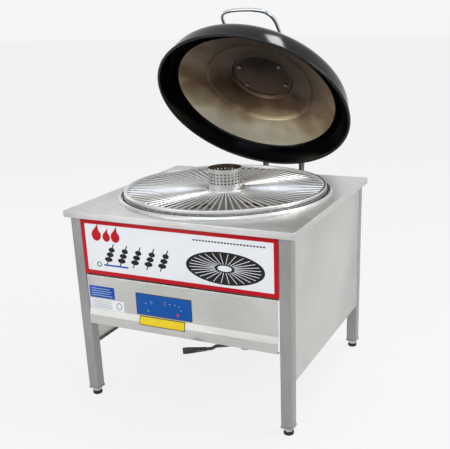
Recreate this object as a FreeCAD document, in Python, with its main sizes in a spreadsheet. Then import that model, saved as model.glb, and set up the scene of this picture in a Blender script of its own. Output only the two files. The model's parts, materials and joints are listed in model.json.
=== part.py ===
"""Floor-standing electric cooker with a radial-wire grate and a hinged dome lid, shown with the lid open.

Millimetres. X runs along the front to the right, Y to the back and Z up. The origin is on the floor,
under the middle of the top plate. The lid's pieces are drawn in the lid's own frame, whose origin is the
centre of its rim, with Z through the top of the dome and Y towards the hinge. They are then turned open
about the hinge.
"""
import FreeCAD, Part

import math
import os

import Sketcher
from FreeCAD import Placement, Rotation, Vector

os.makedirs("parts", exist_ok=True)
doc = FreeCAD.newDocument("cooker")

# Driving dimensions, in millimetres and degrees.
DIMENSIONS = {
    # top plate and legs
    "plate_width": 800.0,
    "plate_depth": 754.0,
    "plate_top": 672.6,
    "plate_gauge": 1.5,
    "plate_fold": 21.3,
    "plate_hole": 334.5,
    "leg_side": 38.0,
    "leg_wall": 1.5,
    "leg_inset_side": 17.2,
    "leg_inset_front": 13.8,
    "leg_inset_back": 7.3,
    "leg_base": 31.0,
    "cap_side": 42.0,
    "cap_flange": 5.5,
    "cap_plug": 24.0,
    "foot_radius": 16.5,
    "foot_tall": 25.2,
    "foot_stem": 4.95,
    "foot_stem_top": 62.0,
    "rail_deep": 18.0,
    "rail_tall": 30.0,
    "hinge_rail_middle": 521.5,
    "front_rail_middle": 479.0,
    # panels
    "sheet": 1.2,
    "panel_return": 15.0,
    "panel_base": 180.0,
    "panel_gap": 0.5,
    "panel_top": 651.0,
    "sign_base": 462.0,
    "sign_top": 647.5,
    "fascia_top": 458.5,
    "fascia_crease": 338.0,
    "fascia_lip": 316.0,
    "fascia_base": 283.2,
    "fascia_proud": 6.0,
    "fascia_half": 343.0,
    "back_base": 283.2,
    "wool_thick": 12.0,
    # controls
    "keypad_middle": -53.5,
    "keypad_half": 102.0,
    "keypad_base": 342.0,
    "keypad_tall": 75.0,
    "keypad_frame": 2.0,
    "keypad_proud": 2.0,
    "board_thick": 1.6,
    "box_left": -190.0,
    "box_right": 150.0,
    "box_base": 326.0,
    "box_tall": 100.0,
    "box_deep": 35.0,
    # pan
    "pan_middle": 8.5,
    "collar_top": 684.3,
    "collar_inner": 333.5,
    "collar_lip": 361.5,
    "collar_foot": 367.0,
    "pan_radius": 333.0,
    "pan_wall": 1.5,
    "pan_floor": 372.0,
    "pan_corner": 40.0,
    "pan_hole": 50.0,
    "heater_level": 585.0,
    "heater_radius_outer": 285.0,
    "heater_radius_inner": 190.0,
    "heater_rod": 4.5,
    "heater_bar": 16.0,
    "window_half": 66.0,
    "window_tall": 26.0,
    # grate and flue
    "grate_radius": 347.5,
    "grate_bar": 4.0,
    "grate_top": 691.5,
    "band_inner": 337.0,
    "hub_outer": 72.0,
    "hub_bore": 58.5,
    "wire": 3.6,
    "flue_radius": 57.5,
    "flue_wall": 1.2,
    "flue_top": 769.5,
    "hole_side": 6.5,
    "hole_row": 11.0,
    "hole_first": 722.0,
    # drain and its valve
    "drain_level": 305.0,
    "drain_turn": -57.8,
    "sump_radius": 62.0,
    "sump_base": 287.0,
    "pipe_radius": 13.45,
    "pipe_bore": 11.0,
    "valve_reach": 368.0,
    "valve_half": 28.0,
    "plug_radius": 12.5,
    "lever_reach": 192.0,
    "lever_wide": 20.0,
    "lever_thick": 3.0,
    "lever_drop": 37.5,
    "grip_long": 76.0,
    # hinge
    "hinge_back": 422.5,
    "hinge_level": 521.5,
    "lid_angle": 45.7,
    "shaft_radius": 9.97,
    "shaft_half": 124.0,
    "beam_side": 40.0,
    "beam_wall": 3.0,
    "beam_half": 100.0,
    "bracket_inner": 103.0,
    "bracket_thick": 7.0,
    "bracket_base": 6.0,
    "arm_place": 78.0,
    "arm_thick": 8.0,
    # lid
    "lid_rest": 689.6,
    "rim_inner": 350.4,
    "rim_outer": 360.5,
    "rim_half": 5.0,
    "shell": 1.6,
    "dome_top": 158.0,
    "reflector_edge": 290.0,
    "reflector_level": 44.0,
    "reflector_disc": 139.0,
    "reflector_gauge": 1.0,
    "bolt_side": 78.0,
    "bolt_fore": 49.0,
    "strap_level": 158.1,
    "strap_thick": 5.0,
    "handle_rod": 6.5,
    "handle_half": 112.0,
    "handle_reach": 312.0,
    "handle_front": 162.0,
    "handle_rear": 208.0,
}
WIRES = 76
FLUE_COLUMNS = 28
FLUE_ROWS = 4
HEATER_RUNS = 24
FACETS = 40

sheet = doc.addObject("Spreadsheet::Sheet", "sizes")
for row, (alias, number) in enumerate(DIMENSIONS.items(), start=1):
    sheet.set(f"A{row}", alias)
    sheet.set(f"B{row}", str(number))
    sheet.setAlias(f"B{row}", alias)
doc.recompute()


class Size:
    """A length from the sheet: its value now, and the formula that keeps a feature bound to the sheet."""

    def __init__(self, value, formula):
        self.value = value
        self.formula = formula

    def _join(self, other, sign, result):
        return Size(result, f"({self.formula} {sign} {as_size(other).formula})")

    def __add__(self, other):
        return self._join(other, "+", self.value + as_size(other).value)

    def __sub__(self, other):
        return self._join(other, "-", self.value - as_size(other).value)

    def __mul__(self, other):
        return self._join(other, "*", self.value * as_size(other).value)

    def __truediv__(self, other):
        return self._join(other, "/", self.value / as_size(other).value)

    def __neg__(self):
        return Size(-self.value, f"(0 - {self.formula})")

    def __radd__(self, other):
        return as_size(other) + self

    def __rsub__(self, other):
        return as_size(other) - self

    def __rmul__(self, other):
        return as_size(other) * self


def as_size(number):
    """A plain number, or a Size as it is."""
    if isinstance(number, Size):
        return number
    return Size(float(number), f"{float(number):.6f}")


def size(alias):
    """The sheet's cell of that name."""
    return Size(float(sheet.get(alias)), f"sizes.{alias}")


def number(alias):
    """The plain value of a cell, for shapes that are worked out point by point."""
    return float(sheet.get(alias))


pieces = []


def finish(feature, label):
    """Name a finished sub-part; its label is its file's name."""
    feature.Label = label
    pieces.append(feature)
    return feature


def bind(feature, name, length):
    """Bind one property of a feature to a length."""
    feature.setExpression(name, as_size(length).formula)


def box(x, y, z, name="block"):
    """A block between two values on each axis."""
    block = doc.addObject("Part::Box", name)
    for prop, axis, (low, high) in (("Length", "x", x), ("Width", "y", y), ("Height", "z", z)):
        bind(block, prop, as_size(high) - low)
        bind(block, f"Placement.Base.{axis}", low)
    return block


def rod(radius, start, length, along="z", name="rod"):
    """A round bar from a start point along an axis."""
    bar = doc.addObject("Part::Cylinder", name)
    turn = {"x": Rotation(Vector(0, 1, 0), 90), "y": Rotation(Vector(1, 0, 0), -90), "z": Rotation()}[along]
    bar.Placement = Placement(Vector(), turn)
    bind(bar, "Radius", radius)
    bind(bar, "Height", length)
    for axis, value in zip("xyz", start):
        bind(bar, f"Placement.Base.{axis}", value)
    return bar


def prism(sides, radius, start, length, along="z", name="prism"):
    """A bar of regular section, such as a bolt head, a nut or a hexagon spacer."""
    bar = doc.addObject("Part::Prism", name)
    bar.Polygon = sides
    turn = {"x": Rotation(Vector(0, 1, 0), 90), "y": Rotation(Vector(1, 0, 0), -90), "z": Rotation()}[along]
    bar.Placement = Placement(Vector(), turn)
    bind(bar, "Circumradius", radius)
    bind(bar, "Height", length)
    for axis, value in zip("xyz", start):
        bind(bar, f"Placement.Base.{axis}", value)
    return bar


def cut(base, *tools):
    """The base less every tool."""
    result = base
    for tool in tools:
        cutting = doc.addObject("Part::Cut", "cutting")
        cutting.Base = result
        cutting.Tool = tool
        result = cutting
    return result


def fuse(*shapes):
    """Pieces that are welded into one solid, or drawn as one node."""
    joined = doc.addObject("Part::MultiFuse", "joined")
    joined.Shapes = list(shapes)
    joined.Refine = True
    return joined


def group(label, *shapes):
    """Like pieces that share one node and stay separate solids."""
    together = doc.addObject("Part::Compound", "together")
    together.Links = list(shapes)
    return finish(together, label)


def start_body(label):
    """A body that a sketch and its features build up."""
    body = doc.addObject("PartDesign::Body", label)
    return finish(body, label)


def start_blank(label):
    """A body that is only the start of a sub-part."""
    return doc.addObject("PartDesign::Body", label)


def sketch_on(body, role, outlines, offset=0.0):
    """A sketch of closed outlines on one of the body's own planes, every corner bound to the sheet."""
    plane = [item for item in body.Origin.OriginFeatures if item.Role == role][0]
    sketch = body.newObject("Sketcher::SketchObject", "outline")
    sketch.AttachmentSupport = [(plane, "")]
    sketch.MapMode = "FlatFace"
    sketch.AttachmentOffset = Placement(Vector(0, 0, as_size(offset).value), Rotation())
    if isinstance(offset, Size):
        sketch.setExpression("AttachmentOffset.Base.z", offset.formula)
    for outline in outlines:
        corners = [(as_size(x), as_size(y)) for x, y in outline]
        first = sketch.GeometryCount
        count = len(corners)
        points = [Vector(x.value, y.value, 0) for x, y in corners]
        lines = [Part.LineSegment(points[i], points[(i + 1) % count]) for i in range(count)]
        sketch.addGeometry(lines, False)
        joints = [
            Sketcher.Constraint("Coincident", first + i, 2, first + (i + 1) % count, 1)
            for i in range(count)
        ]
        sketch.addConstraint(joints)
        for i, (x, y) in enumerate(corners):
            for kind, value in (("DistanceX", x), ("DistanceY", y)):
                index = sketch.addConstraint(Sketcher.Constraint(kind, -1, 1, first + i, 1, value.value))
                sketch.setExpression(f"Constraints[{index}]", value.formula)
    return sketch


def thick_outline(points, gauge):
    """The outline of a bent sheet: the points of one face, and the other face to their left at the gauge.

    A first or last point on the upright axis keeps the other face's point on the axis too.
    """
    face = [(as_size(x), as_size(y)) for x, y in points]
    normals = []
    for (x0, y0), (x1, y1) in zip(face, face[1:]):
        dx = x1.value - x0.value
        dy = y1.value - y0.value
        length = math.hypot(dx, dy)
        normals.append((-dy / length, dx / length))
    other = []
    for i, (x, y) in enumerate(face):
        before = normals[max(i - 1, 0)]
        after = normals[min(i, len(normals) - 1)]
        share = 1 + before[0] * after[0] + before[1] * after[1]
        across = (before[0] + after[0]) / share
        up = (before[1] + after[1]) / share
        if abs(x.value) < 1e-9:
            across = 0.0
            up = 1 / after[1]
        other.append((x + as_size(gauge) * across, y + as_size(gauge) * up))
    return face + other[::-1]


def faceted(levels, sides):
    """A turned form in flat facets, from the radius and height of each level."""
    turns = [2 * math.pi * k / sides for k in range(sides)]
    rings = []
    for radius, level in levels:
        reach = as_size(radius).value
        height = as_size(level).value
        rings.append([Vector(reach * math.cos(turn), reach * math.sin(turn), height) for turn in turns])
    faces = [Part.Face(Part.makePolygon(ring + ring[:1])) for ring in (rings[0], rings[-1])]
    for lower, upper in zip(rings, rings[1:]):
        for k in range(sides):
            after = (k + 1) % sides
            corners = [lower[k], lower[after], upper[after], upper[k], lower[k]]
            faces.append(Part.Face(Part.makePolygon(corners)))
    solid = Part.Solid(Part.Shell(faces))
    solid.fixTolerance(1e-5)
    if solid.Volume < 0:
        solid.reverse()
    feature = doc.addObject("Part::Feature", "faceted")
    feature.Shape = solid
    return feature


def regular(sides, radius):
    """The corners of a regular polygon that has the middle of a side on the X axis."""
    turns = [2 * math.pi * (k + 0.5) / sides for k in range(sides)]
    return [(radius * math.cos(turn), radius * math.sin(turn)) for turn in turns]


def pad(body, sketch, length):
    """Raise a sketch along its plane's normal."""
    feature = body.newObject("PartDesign::Pad", "pad")
    feature.Profile = sketch
    bind(feature, "Length", length)
    return feature


def pocket(body, sketch, length, reverse=False):
    """Sink a sketch into the body, and check that it removed material."""
    doc.recompute()
    before = body.Shape.Volume
    feature = body.newObject("PartDesign::Pocket", "pocket")
    feature.Profile = sketch
    feature.Reversed = reverse
    bind(feature, "Length", length)
    doc.recompute()
    if not body.Shape.Volume < before:
        raise RuntimeError(f"the pocket of {body.Label} removes nothing")
    return feature


def spin(body, sketch):
    """Turn a sketch round the upright axis."""
    feature = body.newObject("PartDesign::Revolution", "turning")
    feature.Profile = sketch
    feature.ReferenceAxis = (sketch, ["V_Axis"])
    feature.Angle = 360.0
    return feature


def round_copies(body, feature, count, around="Z_Axis"):
    """Copies of a feature all round the upright axis."""
    axis = [item for item in body.Origin.OriginFeatures if item.Role == around][0]
    pattern = body.newObject("PartDesign::PolarPattern", "copies")
    pattern.Originals = [feature]
    pattern.Axis = (axis, [""])
    pattern.Angle = 360.0
    pattern.Occurrences = count
    body.Tip = pattern
    return pattern


def shaped(label, shape):
    """A piece whose shape is worked out from the sheet point by point."""
    feature = doc.addObject("Part::Feature", label)
    feature.Shape = shape
    return finish(feature, label)


def bent_path(points, radii, steps=6):
    """The middle line of a bent bar: straight runs, with each corner rounded in short chords."""
    line = [points[0]]
    for before, corner, after, radius in zip(points, points[1:], points[2:], radii):
        back = (before - corner).normalize()
        ahead = (after - corner).normalize()
        half_turn = (math.pi - back.getAngle(ahead)) / 2
        reach = radius * math.tan(half_turn)
        inward = (back + ahead).normalize()
        middle = corner + inward * (radius / math.cos(half_turn) - radius)
        arc = Part.Arc(corner + back * reach, middle, corner + ahead * reach)
        line += arc.discretize(Number=steps + 1)
    return line + [points[-1]]


def bar_along(line, radius, sides):
    """A bar of regular section along a line of points, mitred at each of them."""
    start = line[0]
    along = (line[1] - line[0]).normalize()
    side = along.cross(Vector(0, 0, 1))
    if side.Length < 0.1:
        side = along.cross(Vector(0, 1, 0))
    side.normalize()
    up = side.cross(along)
    corners = []
    for k in range(sides):
        turn = 2 * math.pi * (k + 0.5) / sides
        corners.append(start + side * (radius * math.cos(turn)) + up * (radius * math.sin(turn)))
    section = Part.makePolygon(corners + corners[:1])
    return Part.makePolygon(line).makePipeShell([section], True, False, 1)


# Places that several pieces share.
half_width = size("plate_width") / 2
half_depth = size("plate_depth") / 2
plate_under = size("plate_top") - size("plate_gauge")
leg_out = half_width - size("leg_inset_side")
leg_in = leg_out - size("leg_side")
front_face = -(half_depth - size("leg_inset_front"))
front_in = front_face + size("leg_side")
back_face = half_depth - size("leg_inset_back")
back_in = back_face - size("leg_side")
pan_middle = size("pan_middle")


def mirrored_pair(low, high):
    """A span on the right and the same span on the left."""
    return ((low, high), (-as_size(high), -as_size(low)))


def legs():
    """Four legs of square tube, open at both ends."""
    wall = size("leg_wall")
    for depth_name, (y_low, y_high) in (("front", (front_face, front_in)), ("rear", (back_in, back_face))):
        for side_name, (x_low, x_high) in zip(("right", "left"), mirrored_pair(leg_in, leg_out)):
            outer = box((x_low, x_high), (y_low, y_high), (size("leg_base"), plate_under))
            inner = box(
                (x_low + wall, x_high - wall),
                (y_low + wall, y_high - wall),
                (size("leg_base") - 1, plate_under + 1),
            )
            finish(cut(outer, inner), f"leg_{depth_name}_{side_name}")


def leg_centres():
    """The middle of each leg in plan, with its name."""
    half = size("leg_side") / 2
    for depth_name, y in (("front", front_face + half), ("rear", back_face - half)):
        for side_name, x in (("right", leg_out - half), ("left", -(leg_out - half))):
            yield f"{depth_name}_{side_name}", x, y


def foot_caps():
    """Flanged caps driven into the legs, each bored for its levelling foot."""
    caps = []
    for _, x, y in leg_centres():
        flange_half = size("cap_side") / 2
        plug_half = size("leg_side") / 2 - size("leg_wall") - 0.2
        top = size("leg_base")
        flange = box(
            (x - flange_half, x + flange_half),
            (y - flange_half, y + flange_half),
            (top - size("cap_flange"), top),
        )
        plug = box(
            (x - plug_half, x + plug_half),
            (y - plug_half, y + plug_half),
            (top, top + size("cap_plug")),
        )
        bore = prism(8, size("foot_stem") + 0.5, (x, y, top - 10), size("cap_plug") + 20)
        caps.append(cut(fuse(flange, plug), bore))
    group("leg_caps", *caps)


def levelling_feet():
    """Screwed feet: a dark round pad with a chamfered sole, on a threaded stem."""
    for name, x, y in leg_centres():
        sole = prism(16, size("foot_radius"), (x, y, 2.5), size("foot_tall") - 2.5)
        chamfer = prism(16, size("foot_radius") - 2.5, (x, y, 0), 2.5)
        stem_long = size("foot_stem_top") - size("foot_tall")
        stem = prism(8, size("foot_stem"), (x, y, size("foot_tall")), stem_long)
        finish(fuse(sole, chamfer, stem), f"foot_{name}")


def rail(x, y, z, label):
    """A tube between two legs, open at its ends; it runs along whichever side is longer."""
    wall = size("leg_wall")
    outer = box(x, y, z)
    along_x = as_size(x[1]).value - as_size(x[0]).value > as_size(y[1]).value - as_size(y[0]).value
    past = 1.0
    inner_x = (x[0] - past, x[1] + past) if along_x else (x[0] + wall, x[1] - wall)
    inner_y = (y[0] + wall, y[1] - wall) if along_x else (y[0] - past, y[1] + past)
    return cut(outer, box(inner_x, inner_y, (z[0] + wall, z[1] - wall)))


def rails():
    """Tubes that tie the legs under the plate, behind the sign and at the hinge."""
    deep = size("rail_deep")
    tall = size("rail_tall")
    sheet_gap = size("sheet") + 0.3
    across = (-leg_in, leg_in)
    under_plate = (plate_under - tall, plate_under)
    front = (front_face + sheet_gap, front_face + sheet_gap + deep)
    back = (back_face - sheet_gap - deep, back_face - sheet_gap)
    middle = size("front_rail_middle")
    group(
        "front_rails",
        rail(across, front, under_plate, "front_upper"),
        rail(across, front, (middle - tall / 2, middle + tall / 2), "front_lower"),
    )
    hinge = size("hinge_rail_middle")
    group(
        "rear_rails",
        rail(across, back, under_plate, "rear_upper"),
        rail(across, back, (hinge - tall / 2, hinge + tall / 2), "rear_hinge"),
    )
    between = (front_in, back_in)
    sides = mirrored_pair(leg_out - sheet_gap - deep, leg_out - sheet_gap)
    for side_name, x in zip(("right", "left"), sides):
        finish(rail(x, between, under_plate, "side"), f"side_rail_{side_name}")


def top_plate():
    """The worktop: a sheet folded down all round, with the round opening for the pan."""
    body = start_body("top_plate")
    gauge = size("plate_gauge")
    outline = [
        (-half_width, -half_depth),
        (half_width, -half_depth),
        (half_width, half_depth),
        (-half_width, half_depth),
    ]
    under = size("plate_top") - size("plate_fold")
    pad(body, sketch_on(body, "XY_Plane", [outline], under), size("plate_fold"))
    inside = [
        (-half_width + gauge, -half_depth + gauge),
        (half_width - gauge, -half_depth + gauge),
        (half_width - gauge, half_depth - gauge),
        (-half_width + gauge, half_depth - gauge),
    ]
    hollow = sketch_on(body, "XY_Plane", [inside], size("plate_top") - size("plate_fold"))
    pocket(body, hollow, size("plate_fold") - gauge, reverse=True)
    plane = [item for item in body.Origin.OriginFeatures if item.Role == "XY_Plane"][0]
    ring = body.newObject("Sketcher::SketchObject", "opening")
    ring.AttachmentSupport = [(plane, "")]
    ring.MapMode = "FlatFace"
    ring.setExpression("AttachmentOffset.Base.z", plate_under.formula)
    centre = Vector(0, pan_middle.value, 0)
    ring.addGeometry(Part.Circle(centre, Vector(0, 0, 1), number("plate_hole")), False)
    ring.addConstraint(Sketcher.Constraint("PointOnObject", 0, 3, -2))
    ring.addConstraint(Sketcher.Constraint("DistanceY", -1, 1, 0, 3, pan_middle.value))
    ring.addConstraint(Sketcher.Constraint("Radius", 0, number("plate_hole")))
    ring.setExpression("Constraints[1]", pan_middle.formula)
    ring.setExpression("Constraints[2]", "sizes.plate_hole")
    pocket(body, ring, gauge + 1, reverse=True)


def tray(x, y, z, open_side, gauge):
    """A sheet panel with its edges folded back; open_side is the face that is left open."""
    outer = box(x, y, z)
    spans = {
        "x": [x[0] + gauge, x[1] - gauge],
        "y": [y[0] + gauge, y[1] - gauge],
        "z": [z[0] + gauge, z[1] - gauge],
    }
    axis = open_side[1]
    limits = {"x": x, "y": y, "z": z}[axis]
    if open_side[0] == "-":
        spans[axis][0] = as_size(limits[0]) - 1
    else:
        spans[axis][1] = as_size(limits[1]) + 1
    return cut(outer, box(tuple(spans["x"]), tuple(spans["y"]), tuple(spans["z"])))


def panels():
    """Side, back and sign panels: folded trays between the legs, their faces flush with the tubes."""
    gauge = size("sheet")
    gap = size("panel_gap")
    fold = size("panel_return")
    between = (front_in + gap, back_in - gap)
    tall = (size("panel_base"), size("panel_top"))
    right = tray((leg_out - fold, leg_out - gap), between, tall, "-x", gauge)
    beside_rail = (plate_under - size("rail_tall") - 0.5, plate_under)
    notch = box((leg_out - fold - 1, leg_out - gauge - 0.3), between, beside_rail)
    finish(cut(right, notch), "side_panel_right")
    left = tray((-leg_out + gap, -leg_out + fold), between, tall, "+x", gauge)
    notch = box((-leg_out + gauge + 0.3, -leg_out + fold + 1), between, beside_rail)
    finish(cut(left, notch), "side_panel_left")
    across = (-leg_in + gap, leg_in - gap)
    back = box(across, (back_face - gauge, back_face), (size("back_base"), size("panel_top")))
    hem = box(across, (back_face - fold, back_face), (size("back_base"), size("back_base") + gauge))
    finish(fuse(back, hem), "back_panel")
    sign = box(across, (front_face, front_face + gauge), (size("sign_base"), size("sign_top")))
    finish(sign, "sign_panel")


def control_fascia():
    """The front fascia: one folded sheet with a flat face, a sloped strip and a lip that stands proud."""
    body = start_body("control_fascia")
    gauge = size("sheet")
    face = front_face
    proud = front_face - size("fascia_proud")
    top = size("fascia_top")
    crease = size("fascia_crease")
    lip = size("fascia_lip")
    base = size("fascia_base")
    bends = [
        (face + 14, top),
        (face, top),
        (face, crease),
        (proud, lip),
        (proud, base),
        (proud + 5.5, base),
    ]
    outline = thick_outline(bends, gauge)
    half = size("fascia_half")
    pad(body, sketch_on(body, "YZ_Plane", [outline], -half), half * 2)


def wool():
    """Mineral-wool boards that line the inside of the cabinet behind its panels."""
    boards = []
    inset = size("sheet") + 2
    thick = size("wool_thick")
    tall = (size("fascia_top") + 20, plate_under - size("rail_tall") - 2)
    for x in mirrored_pair(leg_out - size("panel_return") - thick - 1, leg_out - size("panel_return") - 1):
        boards.append(box(x, (front_in + 4, back_in - 4), tall))
    group("insulation_boards", *boards)


def keypad():
    """The control panel on the fascia: a thin black frame, the blue membrane in it and the board behind."""
    middle = size("keypad_middle")
    half = size("keypad_half")
    base = size("keypad_base")
    tall = size("keypad_tall")
    frame = size("keypad_frame")
    proud = size("keypad_proud")
    outer = box((middle - half, middle + half), (front_face - proud, front_face), (base, base + tall))
    inner = box(
        (middle - half + frame, middle + half - frame),
        (front_face - proud - 1, front_face + 1),
        (base + frame, base + tall - frame),
    )
    finish(cut(outer, inner), "keypad_frame")
    edge = frame + 0.3
    overlay = box(
        (middle - half + edge, middle + half - edge),
        (front_face - proud + 0.7, front_face),
        (base + edge, base + tall - edge),
    )
    finish(overlay, "keypad_overlay")
    board_front = front_face + size("sheet") + 6
    board = box(
        (middle - half + 8, middle + half - 8),
        (board_front, board_front + size("board_thick")),
        (base + 4, base + tall - 6),
    )
    finish(board, "keypad_board")


def control_box():
    """The electrical box behind the fascia, with the contactor and the terminal block in it."""
    left = size("box_left")
    right = size("box_right")
    base = size("box_base")
    top = base + size("box_tall")
    front = front_face + size("sheet") + 0.5
    back = front + size("box_deep")
    gauge = size("sheet")
    finish(tray((left, right), (front, back), (base, top), "-y", gauge), "control_box")
    floor = back - gauge
    contactor = box((right - 80, right - 35), (floor - 26, floor), (base + 20, base + 84))
    arm = box((right - 72, right - 43), (floor - 30, floor - 26), (base + 40, base + 64))
    finish(fuse(contactor, arm), "contactor")
    block = box((left + 8, left + 38), (floor - 22, floor), (base + 20, base + 80))
    slots = [
        box((left + 4, left + 42), (floor - 23, floor - 12), (base + 24 + 14 * k, base + 32 + 14 * k))
        for k in range(4)
    ]
    finish(cut(block, *slots), "terminal_block")
    x = leg_in - 90
    z = size("back_base") + 40
    nut = prism(6, 13.0, (x, back_face, z), 7.0, "y")
    dome = prism(12, 10.0, (x, back_face + 7, z), 12.0, "y")
    bore = rod(5.0, (x, back_face - 1, z), 30.0, "y")
    finish(cut(fuse(nut, dome), bore), "cable_gland")


def pan_body(label):
    """A body that stands on the pan's upright axis."""
    body = start_body(label)
    body.setExpression("Placement.Base.y", pan_middle.formula)
    return body


def stand_in_pan(feature):
    """Centre a finished piece on the pan's upright axis."""
    feature.setExpression("Placement.Base.y", pan_middle.formula)
    return feature


def collar():
    """The raised ring round the pan, which carries the grate and the shut lid's rim."""
    top = size("collar_top")
    base = size("plate_top")
    lip = size("collar_lip")
    ring = faceted([(size("collar_foot"), base), (lip + 4, top - 4), (lip, top)], FACETS)
    hole = faceted([(size("collar_inner"), base - 1), (size("collar_inner"), top + 1)], FACETS)
    stand_in_pan(finish(cut(ring, hole), "pan_collar"))


def firepot():
    """The pan: a spun pot with a coned floor that drains to the middle, and a window for the heaters."""
    radius = size("pan_radius")
    wall = size("pan_wall")
    floor = size("pan_floor")
    corner = floor + size("pan_corner")
    top = size("collar_top") - 0.3
    ledge = size("flue_radius") + 6
    outside = faceted([(ledge, floor - wall), (radius, corner - wall), (radius, top)], FACETS)
    inside = faceted([(ledge, floor), (radius - wall, corner), (radius - wall, top + 1)], FACETS)
    hole = prism(24, size("pan_hole"), (0, 0, floor - 10), 20.0)
    half = size("window_half")
    level = size("heater_level")
    rise = size("window_tall") / 2
    window = box((-half, half), (-radius - 5, -radius + 40), (level - rise, level + rise))
    stand_in_pan(finish(cut(outside, inside, hole, window), "firepot"))


def heater(label, radius, leg, end):
    """A heating element: one ring of rod whose two ends run out through the pan's window."""
    level = number("heater_level")
    middle = number("pan_middle")
    opening = math.asin(leg / radius)
    line = [Vector(leg, middle - end, level)]
    for k in range(HEATER_RUNS + 1):
        turn = -math.pi / 2 + opening + (2 * math.pi - 2 * opening) * k / HEATER_RUNS
        line.append(Vector(radius * math.cos(turn), middle + radius * math.sin(turn), level))
    line.append(Vector(-leg, middle - end, level))
    return shaped(label, bar_along(line, number("heater_rod"), 6))


def heaters():
    """The two elements, the crossed bars that carry them, and the temperature probe beside their ends."""
    end = number("pan_radius") + 12
    heater("heater_outer", number("heater_radius_outer"), 44.0, end)
    heater("heater_inner", number("heater_radius_inner"), 20.0, end)
    under = size("heater_level") - size("heater_rod") - 0.2
    reach = size("pan_radius") - size("pan_wall") - 1
    inner = size("flue_radius") + 8
    bars = []
    for k in range(4):
        bar = box((inner, reach), (-size("heater_bar") / 2, size("heater_bar") / 2), (under - 4, under))
        turned = doc.addObject("Part::Feature", "heater_bar")
        doc.recompute()
        turned.Shape = bar.Shape
        turned.Placement = Placement(
            Vector(0, number("pan_middle"), 0), Rotation(Vector(0, 0, 1), 45 + 90 * k)
        ).multiply(bar.Placement)
        bars.append(turned)
    group("heater_bars", *bars)
    start = pan_middle - size("pan_radius") - 12
    probe = prism(8, 4.0, (size("window_half") - 8, start, size("heater_level")), 55.0, "y")
    head = prism(6, 8.0, (size("window_half") - 8, start - 10, size("heater_level")), 10.0, "y")
    finish(fuse(probe, head), "temperature_probe")


def grate():
    """The grate: radial bars between a raised hub ring and a raised outer band, welded into one piece."""
    body = pan_body("grate")
    under = size("collar_top")
    bar_top = under + size("grate_bar")
    edge = size("grate_radius")
    hub = size("hub_outer")
    bore = size("hub_bore")
    band = size("band_inner")
    outline = [
        (bore, under),
        (edge, under),
        (edge, size("grate_top")),
        (band, size("grate_top")),
        (band, bar_top),
        (hub, bar_top),
        (hub, size("grate_top")),
        (bore, size("grate_top")),
    ]
    spin(body, sketch_on(body, "XZ_Plane", [outline]))
    half_pitch = math.pi / WIRES
    start = hub + 0.5
    stop = band - 1.0
    lean = math.tan(half_pitch)
    inset = size("wire") / (2 * math.cos(half_pitch))
    gap = [
        (start, -(start * lean - inset)),
        (stop, -(stop * lean - inset)),
        (stop, stop * lean - inset),
        (start, start * lean - inset),
    ]
    slot = pocket(body, sketch_on(body, "XY_Plane", [gap], under - 1), size("grate_bar") + 3, reverse=True)
    round_copies(body, slot, WIRES)
    notch_half = 7.0
    notch_out = bore + 7
    notches = []
    for side in (1, -1):
        near = side * (bore - 2)
        far = side * notch_out
        notches.append([(near, -notch_half), (far, -notch_half), (far, notch_half), (near, notch_half)])
    deep = size("grate_top") - under + 2
    pocket(body, sketch_on(body, "XY_Plane", notches, under - 1), deep, reverse=True)


def flue():
    """The flue: a perforated tube that stands on the pan's floor and comes up through the grate's hub."""
    body = pan_body("flue_tube")
    radius = size("flue_radius")
    wall = size("flue_wall")
    base = size("pan_floor") + 0.1
    section = [regular(FLUE_COLUMNS, radius), regular(FLUE_COLUMNS, radius - wall)]
    pad(body, sketch_on(body, "XY_Plane", section, base), size("flue_top") - base)
    half = size("hole_side") / 2
    squares = []
    for row in range(FLUE_ROWS):
        level = size("hole_first") + size("hole_row") * row
        low = level - half
        high = level + half
        squares.append([(-half, low), (half, low), (half, high), (-half, high)])
    column = pocket(body, sketch_on(body, "YZ_Plane", squares, radius - 10), 20.0, reverse=True)
    round_copies(body, column, FLUE_COLUMNS)
    weep_half = 8.0
    weep = [(-weep_half, base - 1), (weep_half, base - 1), (weep_half, base + 9), (-weep_half, base + 9)]
    weep_hole = pocket(body, sketch_on(body, "YZ_Plane", [weep], radius - 10), 20.0, reverse=True)
    round_copies(body, weep_hole, 4)


def drain_place(feature):
    """Stand a piece of the drain on its own frame: X along the pipe from the pan's axis, Z up."""
    along_pipe = Rotation(Vector(0, 0, 1), number("drain_turn"))
    feature.Placement = Placement(Vector(0, number("pan_middle"), number("drain_level")), along_pipe)
    return feature


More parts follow.
